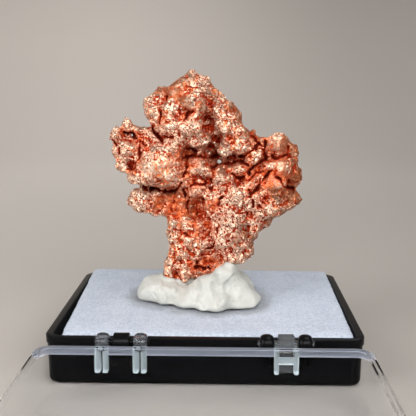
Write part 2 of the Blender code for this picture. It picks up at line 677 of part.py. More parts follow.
def build():
    clear_scene()
    black = material("black_plastic", (0.012, 0.012, 0.014), 0.25)
    clear = material("clear_plastic", (0.93, 0.95, 0.97), 0.08, transmission=1.0)
    white_foam = material("white_foam", (0.86, 0.88, 0.92), 0.9)
    white_putty = material("white_putty", (0.86, 0.85, 0.80), 0.7)
    copper = material("native_copper", (0.80, 0.42, 0.29), 0.32, metallic=1.0)

    box_half("tray", black)
    lid = box_half("lid", clear)
    lay_open(lid)

    foam = foam_solid("foam_pad", 0.0, FLOOR + GAP)
    foam.data.materials.append(white_foam)
    round_foam_corners(foam)

    lumps = sum(COPPER_GROUPS, ()) + CORE + BACK + echo_lumps()
    fused("native_copper", lumps, COPPER_VOXEL, COPPER_TRIANGLES, copper)

    putty = fused("putty", PUTTY, PUTTY_VOXEL, PUTTY_TRIANGLES, white_putty)
    add_boolean(putty, foam_solid("putty_seat", GAP, FLOOR), "DIFFERENCE")
    foot = tuple(lump for lump in lumps if lump[2] - lump[5] < PUTTY_POCKET_TOP_Z)
    pocket = fused("putty_pocket", foot, COPPER_VOXEL, PUTTY_POCKET_TRIANGLES, grown=POCKET_CLEARANCE)
    add_boolean(putty, pocket, "DIFFERENCE")


build()
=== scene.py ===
"""Looks of native copper in its open hinged box: metal, putty, foam, black tray and clear lid."""

import json
import math
import random

import bmesh
import bpy
from mathutils import Matrix, Vector


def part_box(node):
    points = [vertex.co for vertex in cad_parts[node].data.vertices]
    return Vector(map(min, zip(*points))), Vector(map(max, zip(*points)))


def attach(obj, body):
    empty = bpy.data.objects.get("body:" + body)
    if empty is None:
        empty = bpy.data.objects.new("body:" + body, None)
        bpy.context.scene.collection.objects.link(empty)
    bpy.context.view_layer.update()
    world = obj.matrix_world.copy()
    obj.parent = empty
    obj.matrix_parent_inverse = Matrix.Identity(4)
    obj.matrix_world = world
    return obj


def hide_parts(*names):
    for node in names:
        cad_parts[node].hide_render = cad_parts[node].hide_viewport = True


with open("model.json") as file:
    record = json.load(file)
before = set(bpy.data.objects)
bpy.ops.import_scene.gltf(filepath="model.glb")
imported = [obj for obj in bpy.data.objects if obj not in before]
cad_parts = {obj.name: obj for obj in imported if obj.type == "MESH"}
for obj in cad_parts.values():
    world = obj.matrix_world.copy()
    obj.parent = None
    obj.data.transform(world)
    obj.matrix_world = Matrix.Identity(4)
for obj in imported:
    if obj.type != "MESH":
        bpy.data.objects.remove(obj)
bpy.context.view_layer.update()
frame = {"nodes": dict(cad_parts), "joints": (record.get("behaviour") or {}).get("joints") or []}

MM = 0.001

HINGE = next(joint for joint in frame["joints"] if joint["name"] == "lid_hinge")
HINGE_Y = HINGE["pos_m"][1]
RIM_Z = HINGE["pos_m"][2]
TRAY_LOW, TRAY_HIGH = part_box("tray")
FOAM_LOW, FOAM_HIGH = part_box("foam_pad")

# --- box dimensions ---

HINGE_OFFSET = 2.75 * MM
BOX_WIDTH = TRAY_HIGH.x - TRAY_LOW.x
BOX_DEPTH = 2 * (-HINGE_Y - HINGE_OFFSET)
WALL = 2.0 * MM
FLOOR = 1.6 * MM
CORNER_RADIUS = 4 * MM
CORNER_STEPS = 14
FOOT_ROUNDING = 1.5 * MM
DRAFT = 0.5 * MM
RIM_BAND = 2.1 * MM
RIM_PROUD = 0.35 * MM

HINGE_STATION = 20.7 * MM
KNUCKLE_SEGMENTS = 40
TAB_WIDTH = 4.1 * MM
TAB_RADIUS = 2.4 * MM
PIN_RADIUS = 0.8 * MM
BEAD_RADIUS = 1.3 * MM
PIN_REACH = 7.1 * MM
EAR_CENTRE = 4.8 * MM
EAR_HALF_WIDTH = 1.75 * MM
EAR_RADIUS = 2.4 * MM
EAR_ROUNDING = 1.05 * MM
EYE_RADIUS = 1.35 * MM
HINGE_WALL_Y = -BOX_DEPTH / 2 + DRAFT
RIB_FRONT_Y = HINGE_WALL_Y - 1.5 * MM - DRAFT
RIB_LENGTH = 7 * MM
EAR_RIB_PLACE = 0.98 * MM
EAR_RIB_WIDTH = 1.5 * MM
EAR_WEB_WIDTH = 2.6 * MM
TAB_RIB_PLACE = 2.45 * MM
TAB_RIB_WIDTH = 1.3 * MM
TAB_CROSS_LOW = 4.8 * MM
TAB_CROSS_HIGH = 3.0 * MM
TAB_WEB_WIDTH = 4.8 * MM
TAB_ARM_WIDTH = 3.9 * MM
EAR_ARM_WIDTH = 3.0 * MM
WALL_BITE = 0.6 * MM

LATCH_OFFSET = 4.2 * MM
LATCH_WIDTH = 5.6 * MM
HOOK_RISE = 3.4 * MM
HOOK_THICKNESS = 1.0 * MM
HOOK_GAP = 0.35 * MM
CATCH_DROP = 2.9 * MM
MOULD_MARKS = ((-1.8, 6.7), (-14.2, 2.6), (11.8, 7.7))
MARK_RADIUS = 0.75 * MM
MARK_THICKNESS = 0.09 * MM
MARK_SEGMENTS = 32
MARK_SIDES = 8

# --- textures' sizes ---

GROWTH_VOXEL = 0.45 * MM
PIERCED_VOXEL = 0.40 * MM
COPPER_VOXEL = 0.30 * MM
COPPER_TRIANGLES = 190_000
VALLEY_FILL = 0.8 * MM
CREVICE_WANDER = 1.2 * MM
CREVICE_WIDTH = 0.42 * MM
SMOOTH_WIDTH = 3.6 * MM
SMOOTH_WANDER = 1.0 * MM
GRAINS_PER_METRE = 1100.0
EYELET_SLOPE = 0.117
EYELET_ENDS = (-9, 12)
EYELET_SIDES = 9
EYELET_REACH = (0.4, 1.4)
PUTTY_VOXEL = 0.42 * MM
NOTCH_FILL = 1.2 * MM
FOAM_VOXEL = 0.5 * MM
FOAM_SKEW = 1.4 * MM
MERGE_DISTANCE = 1e-6

# --- colours ---

ORANGE_METAL = (0.96, 0.30, 0.11)
PINK_METAL = (1.0, 0.55, 0.35)
PALE_METAL = (1.0, 0.73, 0.55)
# Painted shade for the copper's hollows.
PAINTED_HOLLOW_SHADE = (0.22, 0.032, 0.012)
METAL_EDGE = (0.90, 0.42, 0.26)
HOLE_RED = (0.16, 0.022, 0.009)
STAIN_ORANGE = (0.80, 0.17, 0.04)
# Painted shade for faces marked as shaded.
PAINTED_SHADE_BROWN = (0.42, 0.16, 0.085)
# Brown for tarnish and for painted shade.
TARNISH_AND_SHADE_BROWN = (0.26, 0.08, 0.035)
CREVICE_RED = (0.47, 0.05, 0.014)
CREVICE_DARK = (0.16, 0.016, 0.007)
PUTTY_GREY = (0.42, 0.425, 0.392)
PUTTY_WHITE = (0.49, 0.495, 0.462)
FOAM_PORES = (0.325, 0.372, 0.455)
FOAM_WALLS = (0.49, 0.53, 0.605)
# Painted shade toward the foam's back.
FOAM_PAINTED_SHADE_BACK = (0.20, 0.222, 0.25)
# Pressed foam, partly painted contact shadow.
FOAM_PRESSED_AND_SHADOWED = (0.19, 0.19, 0.185)
TRAY_BLACK = (0.004, 0.004, 0.0045)
# Paper with painted light on the left and painted shade on the right.
PAPER_PAINTED_LIGHT_LEFT = (0.475, 0.436, 0.399)
PAPER_PAINTED_SHADE_RIGHT = (0.30, 0.274, 0.252)
PAPER_FLOOR = (0.22, 0.202, 0.186)
WORLD_GLOW = (1.0, 0.86, 0.76)

# --- marks on the copper's and the putty's front: lines of (x, z) in millimetres ---
# Knobs are (x, y, z, radius), eyelets (x, z, half width, half height), rises (x, y, z, half sizes).

CREVICES = (
    ((-15.3, 63.4), (-14.3, 62.3), (-13.3, 61.2), (-12.3, 60.5)),
    ((-27.2, 61.0), (-26.8, 60.2), (-26.2, 59.3)),
    ((-25.3, 58.2), (-25.3, 57.2)),
    ((-19.5, 60.5), (-19.4, 57.2), (-19.4, 55.8), (-20.4, 54.7), (-20.2, 53.7), (-21.5, 52.6)),
    ((-13.2, 69.9), (-13.0, 67.7), (-13.3, 65.8)),
    ((-11.5, 66.5), (-10.5, 66.3)),
    ((-6.4, 66.8), (-5.9, 68.1), (-5.2, 68.9), (-3.9, 69.4)),
    ((-11.4, 73.0), (-11.4, 72.3)),
    ((-12.1, 62.3), (-11.0, 61.9), (-9.7, 62.2)),
    ((-6.7, 50.6), (-6.3, 52.6), (-5.8, 54.5), (-5.7, 55.8)),
    ((-4.7, 48.2), (-3.6, 48.9), (-2.2, 48.7), (-0.7, 48.6), (0.7, 49.5), (1.7, 51.0), (1.8, 52.4)),
    ((-6.7, 46.8), (-6.2, 44.5)),
    ((-5.6, 43.4), (-5.9, 41.9), (-5.6, 40.1)),
    ((-6.7, 33.9), (-5.5, 33.4), (-4.6, 33.0)),
    ((-0.5, 29.3), (0.9, 29.6)),
    ((1.5, 32.8), (2.2, 32.3), (1.8, 30.0)),
    ((2.8, 36.4), (2.9, 35.3)),
    (
        (12.3, 62.3), (13.3, 61.6), (14.3, 60.1), (14.0, 59.3),
        (12.8, 58.5), (11.4, 57.2), (9.6, 56.4),
    ),
    ((16.3, 61.0), (16.5, 59.2), (16.3, 57.5), (16.8, 55.7)),
    ((14.5, 60.2), (15.7, 59.4), (16.5, 59.2)),
    (
        (18.5, 56.9), (19.0, 56.0), (19.8, 55.8), (21.3, 56.4),
        (22.8, 56.9), (23.2, 58.4), (22.9, 59.3),
    ),
    ((9.6, 54.9), (10.9, 54.2), (11.8, 53.9)),
    ((6.9, 52.0), (8.1, 50.8), (9.3, 50.2), (10.5, 50.8)),
    ((15.8, 52.3), (14.4, 52.0), (13.0, 51.0), (12.1, 50.0)),
    ((13.0, 44.5), (13.2, 42.8)),
    ((12.0, 47.5), (12.6, 46.1)),
    ((4.4, 45.4), (3.6, 44.6), (3.0, 42.9)),
    ((-9.1, 21.7), (-8.1, 20.7), (-7.5, 19.7)),
    ((-2.9, 25.6), (-2.9, 24.5)),
    ((14.7, 42.8), (15.3, 42.3)),
)
CLEFTS = (
    ((-15.6, 65.3), (-15.6, 64.0), (-15.3, 63.3)),
    ((-24.2, 63.2), (-22.9, 63.1), (-21.9, 63.1), (-21.3, 62.4), (-21.9, 61.8), (-20.7, 61.4)),
    ((-18.8, 60.1), (-17.9, 59.8), (-17.1, 59.7)),
    ((-6.8, 56.2), (-3.9, 56.7), (-1.9, 56.8), (-0.2, 56.1), (1.2, 55.9), (2.4, 56.1)),
    ((4.1, 54.5), (6.1, 54.4), (7.6, 54.4), (8.8, 54.9)),
    ((1.2, 53.4), (2.1, 53.3), (2.8, 54.0)),
    (
        (-16.4, 46.6), (-14.6, 46.7), (-12.9, 46.1), (-11.2, 45.8),
        (-9.4, 46.0), (-8.1, 47.9), (-7.2, 49.2),
    ),
    ((16.8, 55.7), (15.9, 55.2), (14.4, 54.2), (13.0, 53.2), (11.8, 52.5), (11.9, 51.5)),
    (
        (18.1, 52.4), (17.3, 51.7), (16.4, 50.5), (15.2, 49.2),
        (14.4, 47.8), (13.2, 46.5), (12.0, 45.3),
    ),
    ((19.7, 51.0), (20.8, 50.0), (21.4, 48.6), (22.5, 47.6), (24.9, 46.9)),
    ((-3.4, 23.1), (-2.0, 23.6), (-0.8, 23.0)),
    ((0.2, 23.5), (1.0, 22.9)),
)
STAINS = (
    ((-13.4, 42.7), (-10.5, 42.1), (-7.6, 43.1), (-4.7, 42.4)),
    ((-10.0, 40.0), (-6.4, 40.2), (-3.0, 40.5)),
    ((-2.9, 37.4), (-0.0, 36.0), (-0.0, 33.6)),
    ((-6.5, 57.6), (-5.4, 55.9), (-5.3, 54.2)),
    ((12.8, 51.7), (14.6, 50.7), (17.0, 51.1), (15.8, 49.4)),
    ((20.9, 51.0), (22.7, 50.3)),
    ((4.4, 45.7), (3.0, 43.5), (2.2, 41.6)),
    ((1.8, 27.9), (3.6, 26.0), (0.7, 25.1)),
    ((-2.9, 24.5), (0.7, 23.3)),
)
SMOOTH_BLOCKS = (
    ((18.6, 60.2), (20.8, 59.2)),
    ((19.2, 54.2), (21.6, 53.2)),
    ((18.8, 49.2), (20.6, 48.4)),
    ((23.6, 46.4), (25.0, 45.6)),
    ((-16.5, 52.6), (-10.0, 53.6)),
    ((-9.0, 75.2), (-6.5, 73.0)),
)
KNOBS = (
    (-23.0, 0.5, 65.7, 1.35),
    (-23.1, 0.5, 64.3, 1.1),
    (-26.6, 0.0, 61.8, 1.5),
)
EYELETS = (
    (3.3, 55.1, 1.15, 0.75),
    (-22.2, 60.8, 0.8, 0.6),
    (-18.9, 60.2, 0.6, 0.5),
)
PUTTY_DENTS = (
    ((-11.8, 20.0), (-11.1, 19.2), (-10.4, 17.7), (-10.2, 16.9)),
    ((-3.0, 20.6), (-2.8, 19.0), (-3.1, 17.8)),
    ((1.9, 22.4), (2.1, 20.4), (2.8, 18.9), (3.2, 17.4)),
    ((6.2, 20.2), (7.4, 18.8)),
)
PUTTY_CREASES = (
    ((1.6, 23.0), (1.8, 21.4), (2.1, 19.8), (2.8, 18.9), (3.1, 17.8), (3.6, 17.1), (4.6, 15.4)),
    ((5.6, 19.8), (5.8, 20.9), (6.4, 21.9), (7.3, 22.7), (8.4, 23.0), (9.8, 22.6)),
    ((-8.2, 18.6), (-9.2, 16.8), (-9.8, 15.8)),
    ((-3.4, 17.2), (-1.8, 16.3), (-0.6, 15.4)),
    ((-3.0, 20.4), (-2.7, 19.0), (-3.0, 18.0), (-3.9, 16.6)),
    ((-12.9, 18.4), (-12.2, 17.2), (-12.1, 16.4)),
    ((-15.2, 17.6), (-14.6, 16.6)),
    ((7.2, 17.4), (8.8, 16.9), (10.6, 17.2)),
)
PUTTY_RISES = (
    (0.2, -5.2, 18.4, 4.6, 4.6, 4.3),
    (-3.6, -5.6, 16.8, 2.6, 4.6, 3.6),
    (4.1, -6.2, 22.3, 2.5, 3.0, 3.2),
)
# Faces lightened with painted light.
PAINTED_LIT_FACES = (
    ((2.8, 49.0), (5.6, 45.4), (6.6, 41.0)),
    ((9.8, 45.2), (12.6, 41.6), (13.2, 38.6)),
    ((0.8, 32.4), (3.2, 30.4), (5.2, 29.0)),
    ((2.8, 39.6), (4.2, 36.0), (5.6, 32.8)),
    ((8.8, 41.8), (8.2, 38.2), (7.0, 34.6)),
    ((-14.6, 62.0), (-8.6, 61.4), (-3.2, 61.8)),
    ((-24.0, 58.0), (-22.6, 55.6)),
    ((-19.8, 48.4), (-17.6, 46.4)),
)
# Faces darkened with painted shade.
PAINTED_SHADED_FACES = (
    ((22.8, 60.2), (24.4, 57.2), (25.0, 54.2), (24.8, 51.6)),
    ((9.6, 71.0), (11.8, 67.0), (13.8, 63.6)),
    ((-13.0, 76.4), (-10.4, 75.4), (-8.0, 74.6)),
    ((21.8, 46.6), (24.0, 44.6)),
)
# Brown marks, partly tarnish, partly painted shade on shaded sides and under overhangs.
TARNISH_AND_SHADE = (
    ((0.4, 74.7), (1.3, 72.4), (-0.1, 69.1), (-0.3, 66.2), (0.6, 63.4)),
    ((-5.2, 63.3), (-3.0, 62.7)),
    ((-4.8, 58.8), (-1.9, 58.7), (1.5, 58.6), (3.4, 60.6)),
    ((24.4, 58.5), (25.3, 55.0), (25.6, 51.6), (24.7, 48.5)),
    ((19.2, 46.5), (21.0, 45.3)),
    ((23.1, 45.4), (25.6, 44.6)),
    ((16.1, 37.3), (19.2, 38.2), (21.9, 40.1)),
    ((-15.7, 44.7), (-13.4, 43.6)),
    ((-5.3, 42.5), (-5.3, 40.1)),
    ((4.4, 53.4), (5.6, 55.8)),
    ((12.7, 31.0), (15.2, 33.7)),
    ((-7.1, 76.8), (-5.0, 79.0)),
    ((-5.9, 72.0), (-7.5, 71.4)),
    ((8.5, 32.8), (10.8, 34.9), (10.5, 38.4)),
)

COPPER_MARKS = {
    "Crevices": CREVICES,
    "Clefts": CLEFTS,
    "Stains": STAINS,
    "Tarnish": TARNISH_AND_SHADE,
    "Pale faces": PAINTED_LIT_FACES,
    "Dull faces": PAINTED_SHADED_FACES,
    "Smooth blocks": SMOOTH_BLOCKS,
}

# --- camera and stage ---

CAMERA_PLACE = (5.4 * MM, -213.3 * MM, 80 * MM)
CAMERA_PITCH = 10.3
CAMERA_YAW = 1.4
CAMERA_ROLL = 0.1
SENSOR = 36.0
FOCAL_PIXELS = 745
PICTURE_PIXELS = 416
LENS = SENSOR * FOCAL_PIXELS / PICTURE_PIXELS

FLOOR_RADIUS = 0.5
BOWL_CURVE = 0.6
BOWL_TOP = 1.6
BOWL_SEGMENTS = 96
WORLD_STRENGTH = 0.11
LIT_PLACE = (0, 0, 0.045)
# Each is (name, place, aim, size, watts).
SOFTBOXES = (
    ("top_softbox", (0.16, -0.02, 0.52), LIT_PLACE, (0.34, 0.28), 1.05),
    ("front_softbox", (0.08, -0.48, 0.32), LIT_PLACE, (0.55, 0.30), 3.25),
    ("left_softbox", (-0.50, -0.30, 0.30), LIT_PLACE, (0.40, 0.46), 3.4),
    ("right_softbox", (0.50, -0.40, 0.32), LIT_PLACE, (0.38, 0.44), 1.75),
    ("back_softbox", (0.2, 0.6, 0.55), LIT_PLACE, (0.4, 0.3), 0.3),
    ("backdrop_lamp", (0.0, 0.42, 0.48), (-0.02, 0.78, 0.10), (0.45, 0.35), 2.45),
)


# --- node trees ---


class Flow:
    """A number, vector or colour that comes out of a node, for writing a tree as plain sums."""

    def __init__(self, socket):
        self.socket = socket
        self.tree = socket.id_data

    def math(self, operation, other, swap=False, clamp=False):
        inputs = {int(swap): self, int(not swap): other}
        return flow(self.tree, "ShaderNodeMath", 0, inputs, operation=operation, use_clamp=clamp)

    def vector(self, operation, other, output=0):
        inputs = {0: self, "Scale" if operation == "SCALE" else 1: other}
        return flow(self.tree, "ShaderNodeVectorMath", output, inputs, operation=operation)

    def either(self, operation, other):
        """An operation on numbers or on vectors. A vector times a number is scaled."""
        if self.socket.type == "VALUE":
            return self.math(operation, other)
        scaling = operation == "MULTIPLY" and not isinstance(other, tuple)
        return self.vector("SCALE" if scaling else operation, other)

    def __add__(self, other):
        return self.either("ADD", other)

    def __sub__(self, other):
        return self.either("SUBTRACT", other)

    def __mul__(self, other):
        return self.either("MULTIPLY", other)

    def __truediv__(self, other):
        return self.math("DIVIDE", other)

    def __rsub__(self, other):
        return self.math("SUBTRACT", other, swap=True)

    def __rtruediv__(self, other):
        return self.math("DIVIDE", other, swap=True)

    def larger(self, other):
        return self.math("MAXIMUM", other)

    def dot(self, other):
        return self.vector("DOT_PRODUCT", other, "Value")

    def mapped(self, low, high, to_low=0.0, to_high=1.0, kind="LINEAR"):
        """The number from low to high, mapped and clamped to the second pair."""
        inputs = {
            "Value": self,
            "From Min": low,
            "From Max": high,
            "To Min": to_low,
            "To Max": to_high,
        }
        return flow(self.tree, "ShaderNodeMapRange", "Result", inputs, interpolation_type=kind)

    def eased(self, low, high, to_low=0.0, to_high=1.0):
        return self.mapped(low, high, to_low, to_high, "SMOOTHSTEP")

    def mix(self, first, second):
        """The first colour where the number is 0, the second where it is 1."""
        inputs = {0: self, 6: first if isinstance(first, Flow) else (*first, 1), 7: (*second, 1)}
        return flow(self.tree, "ShaderNodeMix", 2, inputs, data_type="RGBA")


def feed(node, inputs):
    """Gives a node's inputs constants, or flows to be linked to."""
    for name, value in inputs.items():
        if isinstance(value, Flow):
            value.tree.links.new(value.socket, node.inputs[name])
        else:
            node.inputs[name].default_value = value


def add(tree, kind, inputs=None, **settings):
    node = tree.nodes.new(kind)
    for name, value in settings.items():
        setattr(node, name, value)
    feed(node, inputs or {})
    return node


def flow(tree, kind, output=0, inputs=None, **settings):
    """One output of a new node."""
    return Flow(add(tree, kind, inputs, **settings).outputs[output])


def noise(place, scale, detail=3.0, roughness=0.5, output="Fac"):
    inputs = {"Vector": place, "Scale": scale, "Detail": detail, "Roughness": roughness}
    return flow(place.tree, "ShaderNodeTexNoise", output, inputs)


def cells(place, scale, output="Distance", feature="F1"):
    inputs = {"Vector": place, "Scale": scale}
    return flow(place.tree, "ShaderNodeTexVoronoi", output, inputs, feature=feature)


def tilted_cells(place, scale):
    """Height of a surface broken into cells that each tilt their own way, in the place's unit."""
    broken = add(place.tree, "ShaderNodeTexVoronoi", {"Vector": place, "Scale": scale})
    tilt = Flow(broken.outputs["Color"]) - (0.5, 0.5, 0.5)
    return tilt.dot(place - Flow(broken.outputs["Position"]))


def new_material(name, sockets):
    """A material, its Principled shader with constant sockets set, and its Object coordinates."""
    made = bpy.data.materials.new(name)
    made.use_nodes = True
    shader = made.node_tree.nodes["Principled BSDF"]
    feed(shader, sockets)
    return made, shader, flow(made.node_tree, "ShaderNodeTexCoord", "Object")


def attribute(place, name):
    return flow(place.tree, "ShaderNodeAttribute", "Fac", attribute_name=name)


def set_bump(shader, height):
    """Bump from a height in metres."""
    inputs = {"Height": height, "Strength": 1.0, "Distance": 1.0}
    feed(shader, {"Normal": flow(height.tree, "ShaderNodeBump", 0, inputs)})


SOCKET_KINDS = {
    float: "NodeSocketFloat",
    int: "NodeSocketInt",
    tuple: "NodeSocketVector",
    bpy.types.Object: "NodeSocketObject",
    bpy.types.Material: "NodeSocketMaterial",
}


def node_step(piece, work, finish, inputs):
    """Runs a piece through a tree with these named inputs, which the work builds, and paints it."""
    inputs = {**inputs, "Finish": finish}
    tree = bpy.data.node_groups.new(work.__name__, "GeometryNodeTree")
    for way in ("INPUT", "OUTPUT"):
        tree.interface.new_socket("Geometry", in_out=way, socket_type="NodeSocketGeometry")
    identifiers = {}
    for label, value in inputs.items():
        kind = SOCKET_KINDS[type(value)]
        socket = tree.interface.new_socket(label, in_out="INPUT", socket_type=kind)
        identifiers[label] = socket.identifier
    sockets = tree.nodes.new("NodeGroupInput").outputs
    given = {socket.name: Flow(socket) for socket in sockets if socket.name}
    realized = flow(tree, "GeometryNodeRealizeInstances", 0, {"Geometry": work(tree, given)})
    painted = {"Geometry": realized, "Material": given["Finish"]}
    feed(tree.nodes.new("NodeGroupOutput"), {0: flow(tree, "GeometryNodeSetMaterial", 0, painted)})
    step = piece.modifiers.new(work.__name__, "NODES")
    step.node_group = tree
    for label, value in inputs.items():
        step[identifiers[label]] = value


def position(tree):
    return flow(tree, "GeometryNodeInputPosition")


def outward(tree):
    """The surface's normal."""
    return flow(tree, "GeometryNodeInputNormal")


def moved(given, offset):
    """The given geometry with its points moved by an offset."""
    inputs = {"Geometry": given["Geometry"], "Offset": offset}
    return flow(offset.tree, "GeometryNodeSetPosition", 0, inputs)


def stored(geometry, name, value):
    """The geometry with a number stored on its points."""
    inputs = {"Geometry": geometry, "Name": name, "Value": value}
    return flow(value.tree, "GeometryNodeStoreNamedAttribute", 0, inputs, domain="POINT")


def distance_to(piece, element="FACES", inputs=None):
    """How far each point lies from another piece's faces or edges."""
    target = flow(piece.tree, "GeometryNodeObjectInfo", "Geometry", {"Object": piece})
    inputs = {"Geometry": target, **(inputs or {})}
    return flow(piece.tree, "GeometryNodeProximity", "Distance", inputs, target_element=element)


def on_lines(lines, width, wander):
    """1 on the lines, seen from the front, and 0 about a width away, ragged by the wander."""
    flat = position(lines.tree) * (1, 0, 1)
    away = noise(flat, 520.0, output="Color") - (0.5, 0.5, 0.5)
    ragged = (flat + away * wander) * (1, 0, 1)
    breadth = noise(flat, 310.0, detail=2.0).mapped(0.35, 0.65, 0.4, 1.5)
    across = distance_to(lines, "EDGES", {"Sample Position": ragged}) / (breadth * width)
    facing = outward(lines.tree).dot((0, -1, 0)).eased(-0.2, 0.2)
    return across.eased(0.3, 1.0, 1.0, 0.0) * facing


def standing_out(tree, iterations):
    """How far each point stands out from the blurred place of its neighbours, along the normal."""
    place = position(tree)
    inputs = {"Iterations": iterations}
    blur = add(tree, "GeometryNodeBlurAttribute", inputs, data_type="FLOAT_VECTOR")
    tree.links.new(place.socket, next(socket for socket in blur.inputs if socket.type == "VECTOR"))
    blurred = Flow(next(socket for socket in blur.outputs if socket.type == "VECTOR"))
    return (place - blurred).dot(outward(tree))


# --- meshes ---


def arc(span, steps, start=0):
    """Angles over a span in degrees, in even steps."""
    return [math.radians(start + span * step / steps) for step in range(steps + 1)]


def turns(steps):
    """Angles all the way round, in even steps."""
    return [math.tau * step / steps for step in range(steps)]


def shift(x, y, z):
    """A move in millimetres."""
    return Matrix.Translation((x * MM, y * MM, z * MM))


def object_of(name, data):
    made = bpy.data.objects.new(name, data)
    bpy.context.scene.collection.objects.link(made)
    return made


def piece_from(name, shape):
    """An object of a bmesh, which it frees."""
    mesh = bpy.data.meshes.new(name)
    shape.to_mesh(mesh)
    shape.free()
    return object_of(name, mesh)


def solid_from(name, shape):
    bmesh.ops.recalc_face_normals(shape, faces=shape.faces)
    return piece_from(name, shape)


def skin(shape, rings, closed=False, caps=(0, -1)):
    """Lays faces between rings of points and over the capped ones, and gives those between."""
    rings = [[shape.verts.new(point) for point in ring] for ring in rings]
    faces = []
    for lower, upper in zip(rings, rings[1:] + rings[:1] if closed else rings[1:]):
        for i in range(len(lower)):
            j = (i + 1) % len(lower)
            faces.append(shape.faces.new((lower[i], lower[j], upper[j], upper[i])))
    if not closed:
        for end in caps:
            shape.faces.new(rings[end])
    return faces


def copy_of_node(name, node, balls=(), subdivisions=2):
    """A merged copy of a CAD node's solid, with balls added to it: each is (matrix, radius)."""
    shape = bmesh.new()
    shape.from_mesh(frame["nodes"][node].data)
    bmesh.ops.remove_doubles(shape, verts=shape.verts, dist=MERGE_DISTANCE)
    for matrix, radius in balls:
        bmesh.ops.create_icosphere(shape, subdivisions=subdivisions, radius=radius, matrix=matrix)
    return piece_from(name, shape)


def line_piece(name, lines):
    """Lines given as (x, z) in millimetres, as edges in the plane Y = 0."""
    shape = bmesh.new()
    for line in lines:
        points = [shape.verts.new((x * MM, 0, z * MM)) for x, z in line]
        for first, second in zip(points, points[1:]):
            shape.edges.new((first, second))
    return piece_from(name, shape)


def modify(piece, kind, **settings):
    step = piece.modifiers.new(kind.lower(), kind)
    for name, value in settings.items():
        setattr(step, name, value)


def remesh(piece, voxel):
    modify(piece, "REMESH", mode="VOXEL", voxel_size=voxel)


def fill_notches(piece, voxel, reach):
    """Rounds a piece and fills its narrow notches, by swelling it and shrinking it again."""
    for distance in (reach, -reach):
        remesh(piece, voxel)
        modify(piece, "DISPLACE", mid_level=0, strength=distance)


def settle(piece, helpers=()):
    """Turns a piece and its modifiers into a plain mesh, and deletes what the modifiers needed."""
    graph = bpy.context.evaluated_depsgraph_get()
    mesh = bpy.data.meshes.new_from_object(piece.evaluated_get(graph))
    piece.modifiers.clear()
    piece.data = mesh
    for helper in helpers:
        bpy.data.objects.remove(helper)


def shade(piece, angle):
    piece.data.shade_smooth()
    piece.data.set_sharp_from_angle(angle=math.radians(angle))


# --- native copper ---


def copper_material():
    """Pale pink metal grains with dark red gaps and pores, stained orange, tarnished brown in
    places, and with painted shade and light: darker hollows, paler crests, paler lit faces and
    brown shaded faces.
    """
    sockets = {"Metallic": 1.0, "Specular Tint": (*METAL_EDGE, 1)}
    made, shader, place = new_material("native_copper_metal", sockets)
    crevice, stain, tarnish = (attribute(place, name) for name in ("crevice", "stain", "tarnish"))
    smooth, relief, paleness = (attribute(place, name) for name in ("smooth", "relief", "paleness"))

    stirred = place + noise(place, 1500.0, detail=2.0, output="Color") * (0.5 * MM)
    spangle = cells(stirred, GRAINS_PER_METRE, "Color")
    chance = flow(place.tree, "ShaderNodeSeparateColor", "Red", {"Color": spangle})
    edge = cells(stirred, GRAINS_PER_METRE, feature="DISTANCE_TO_EDGE")
    patches = noise(place, 210.0, roughness=0.6)
    blotches = noise(place, 900.0, detail=4.0, roughness=0.7)
    gaps = edge.eased(0.04, 0.14, 1.0, 0.0) * blotches.mapped(0.44, 0.56)
    pits = cells(place, 1.7 * GRAINS_PER_METRE)
    pores = pits.eased(0.22, 0.32, 1.0, 0.0) * patches.mapped(0.38, 0.5)
    holes = gaps.larger(pores) * smooth.mapped(0.0, 1.0, 1.0, 0.55)

    # Painted shading by relief, hollows darker and crests paler, and painted light on the lit
    # faces.
    painted_relief_shading = relief.mapped(0.2, 0.8, -0.38, 0.45)
    bright = chance + patches.mapped(0.3, 0.7, -0.25, 0.25) + painted_relief_shading + paleness * 0.5
    colour = bright.mapped(0.0, 0.45).mix(ORANGE_METAL, PINK_METAL)
    colour = bright.mapped(0.3, 0.8).mix(colour, PALE_METAL)
    # Painted shade: the hollows darkened to dark red-brown.
    colour = relief.mapped(0.34, 0.05, 0.0, 0.95).mix(colour, PAINTED_HOLLOW_SHADE)
    colour = (holes * 0.95).mix(colour, HOLE_RED)
    colour = (stain * paleness.mapped(0.0, 1.0, 0.85, 0.2)).mix(colour, STAIN_ORANGE)
    # Painted shade: faces marked as shaded turn brown.
    colour = paleness.mapped(0.0, -1.0, 0.0, 0.7).mix(colour, PAINTED_SHADE_BROWN)
    # Partly tarnish, partly painted shade on faces turned away and under overhangs.
    colour = (tarnish * 0.7).mix(colour, TARNISH_AND_SHADE_BROWN)
    colour = crevice.eased(0.12, 0.5).mix(colour, CREVICE_RED)
    colour = crevice.eased(0.62, 1.0).mix(colour, CREVICE_DARK)

    dull = crevice.larger(holes) * 0.3 + smooth * 0.12 + paleness.mapped(0.0, 1.0, 0.0, 0.16)
    rough = chance.mapped(0.0, 1.0, 0.52, 0.30).math("ADD", dull, clamp=True)
    feed(shader, {"Base Color": colour, "Roughness": rough})
    coarse = tilted_cells(stirred, GRAINS_PER_METRE) * 0.95
    fine = tilted_cells(place, 2.3 * GRAINS_PER_METRE) * 0.6
    tilted = (coarse + fine) * smooth.mapped(0.0, 1.0, 1.0, 0.8)
    set_bump(shader, tilted - holes * (0.14 * MM))
    return made


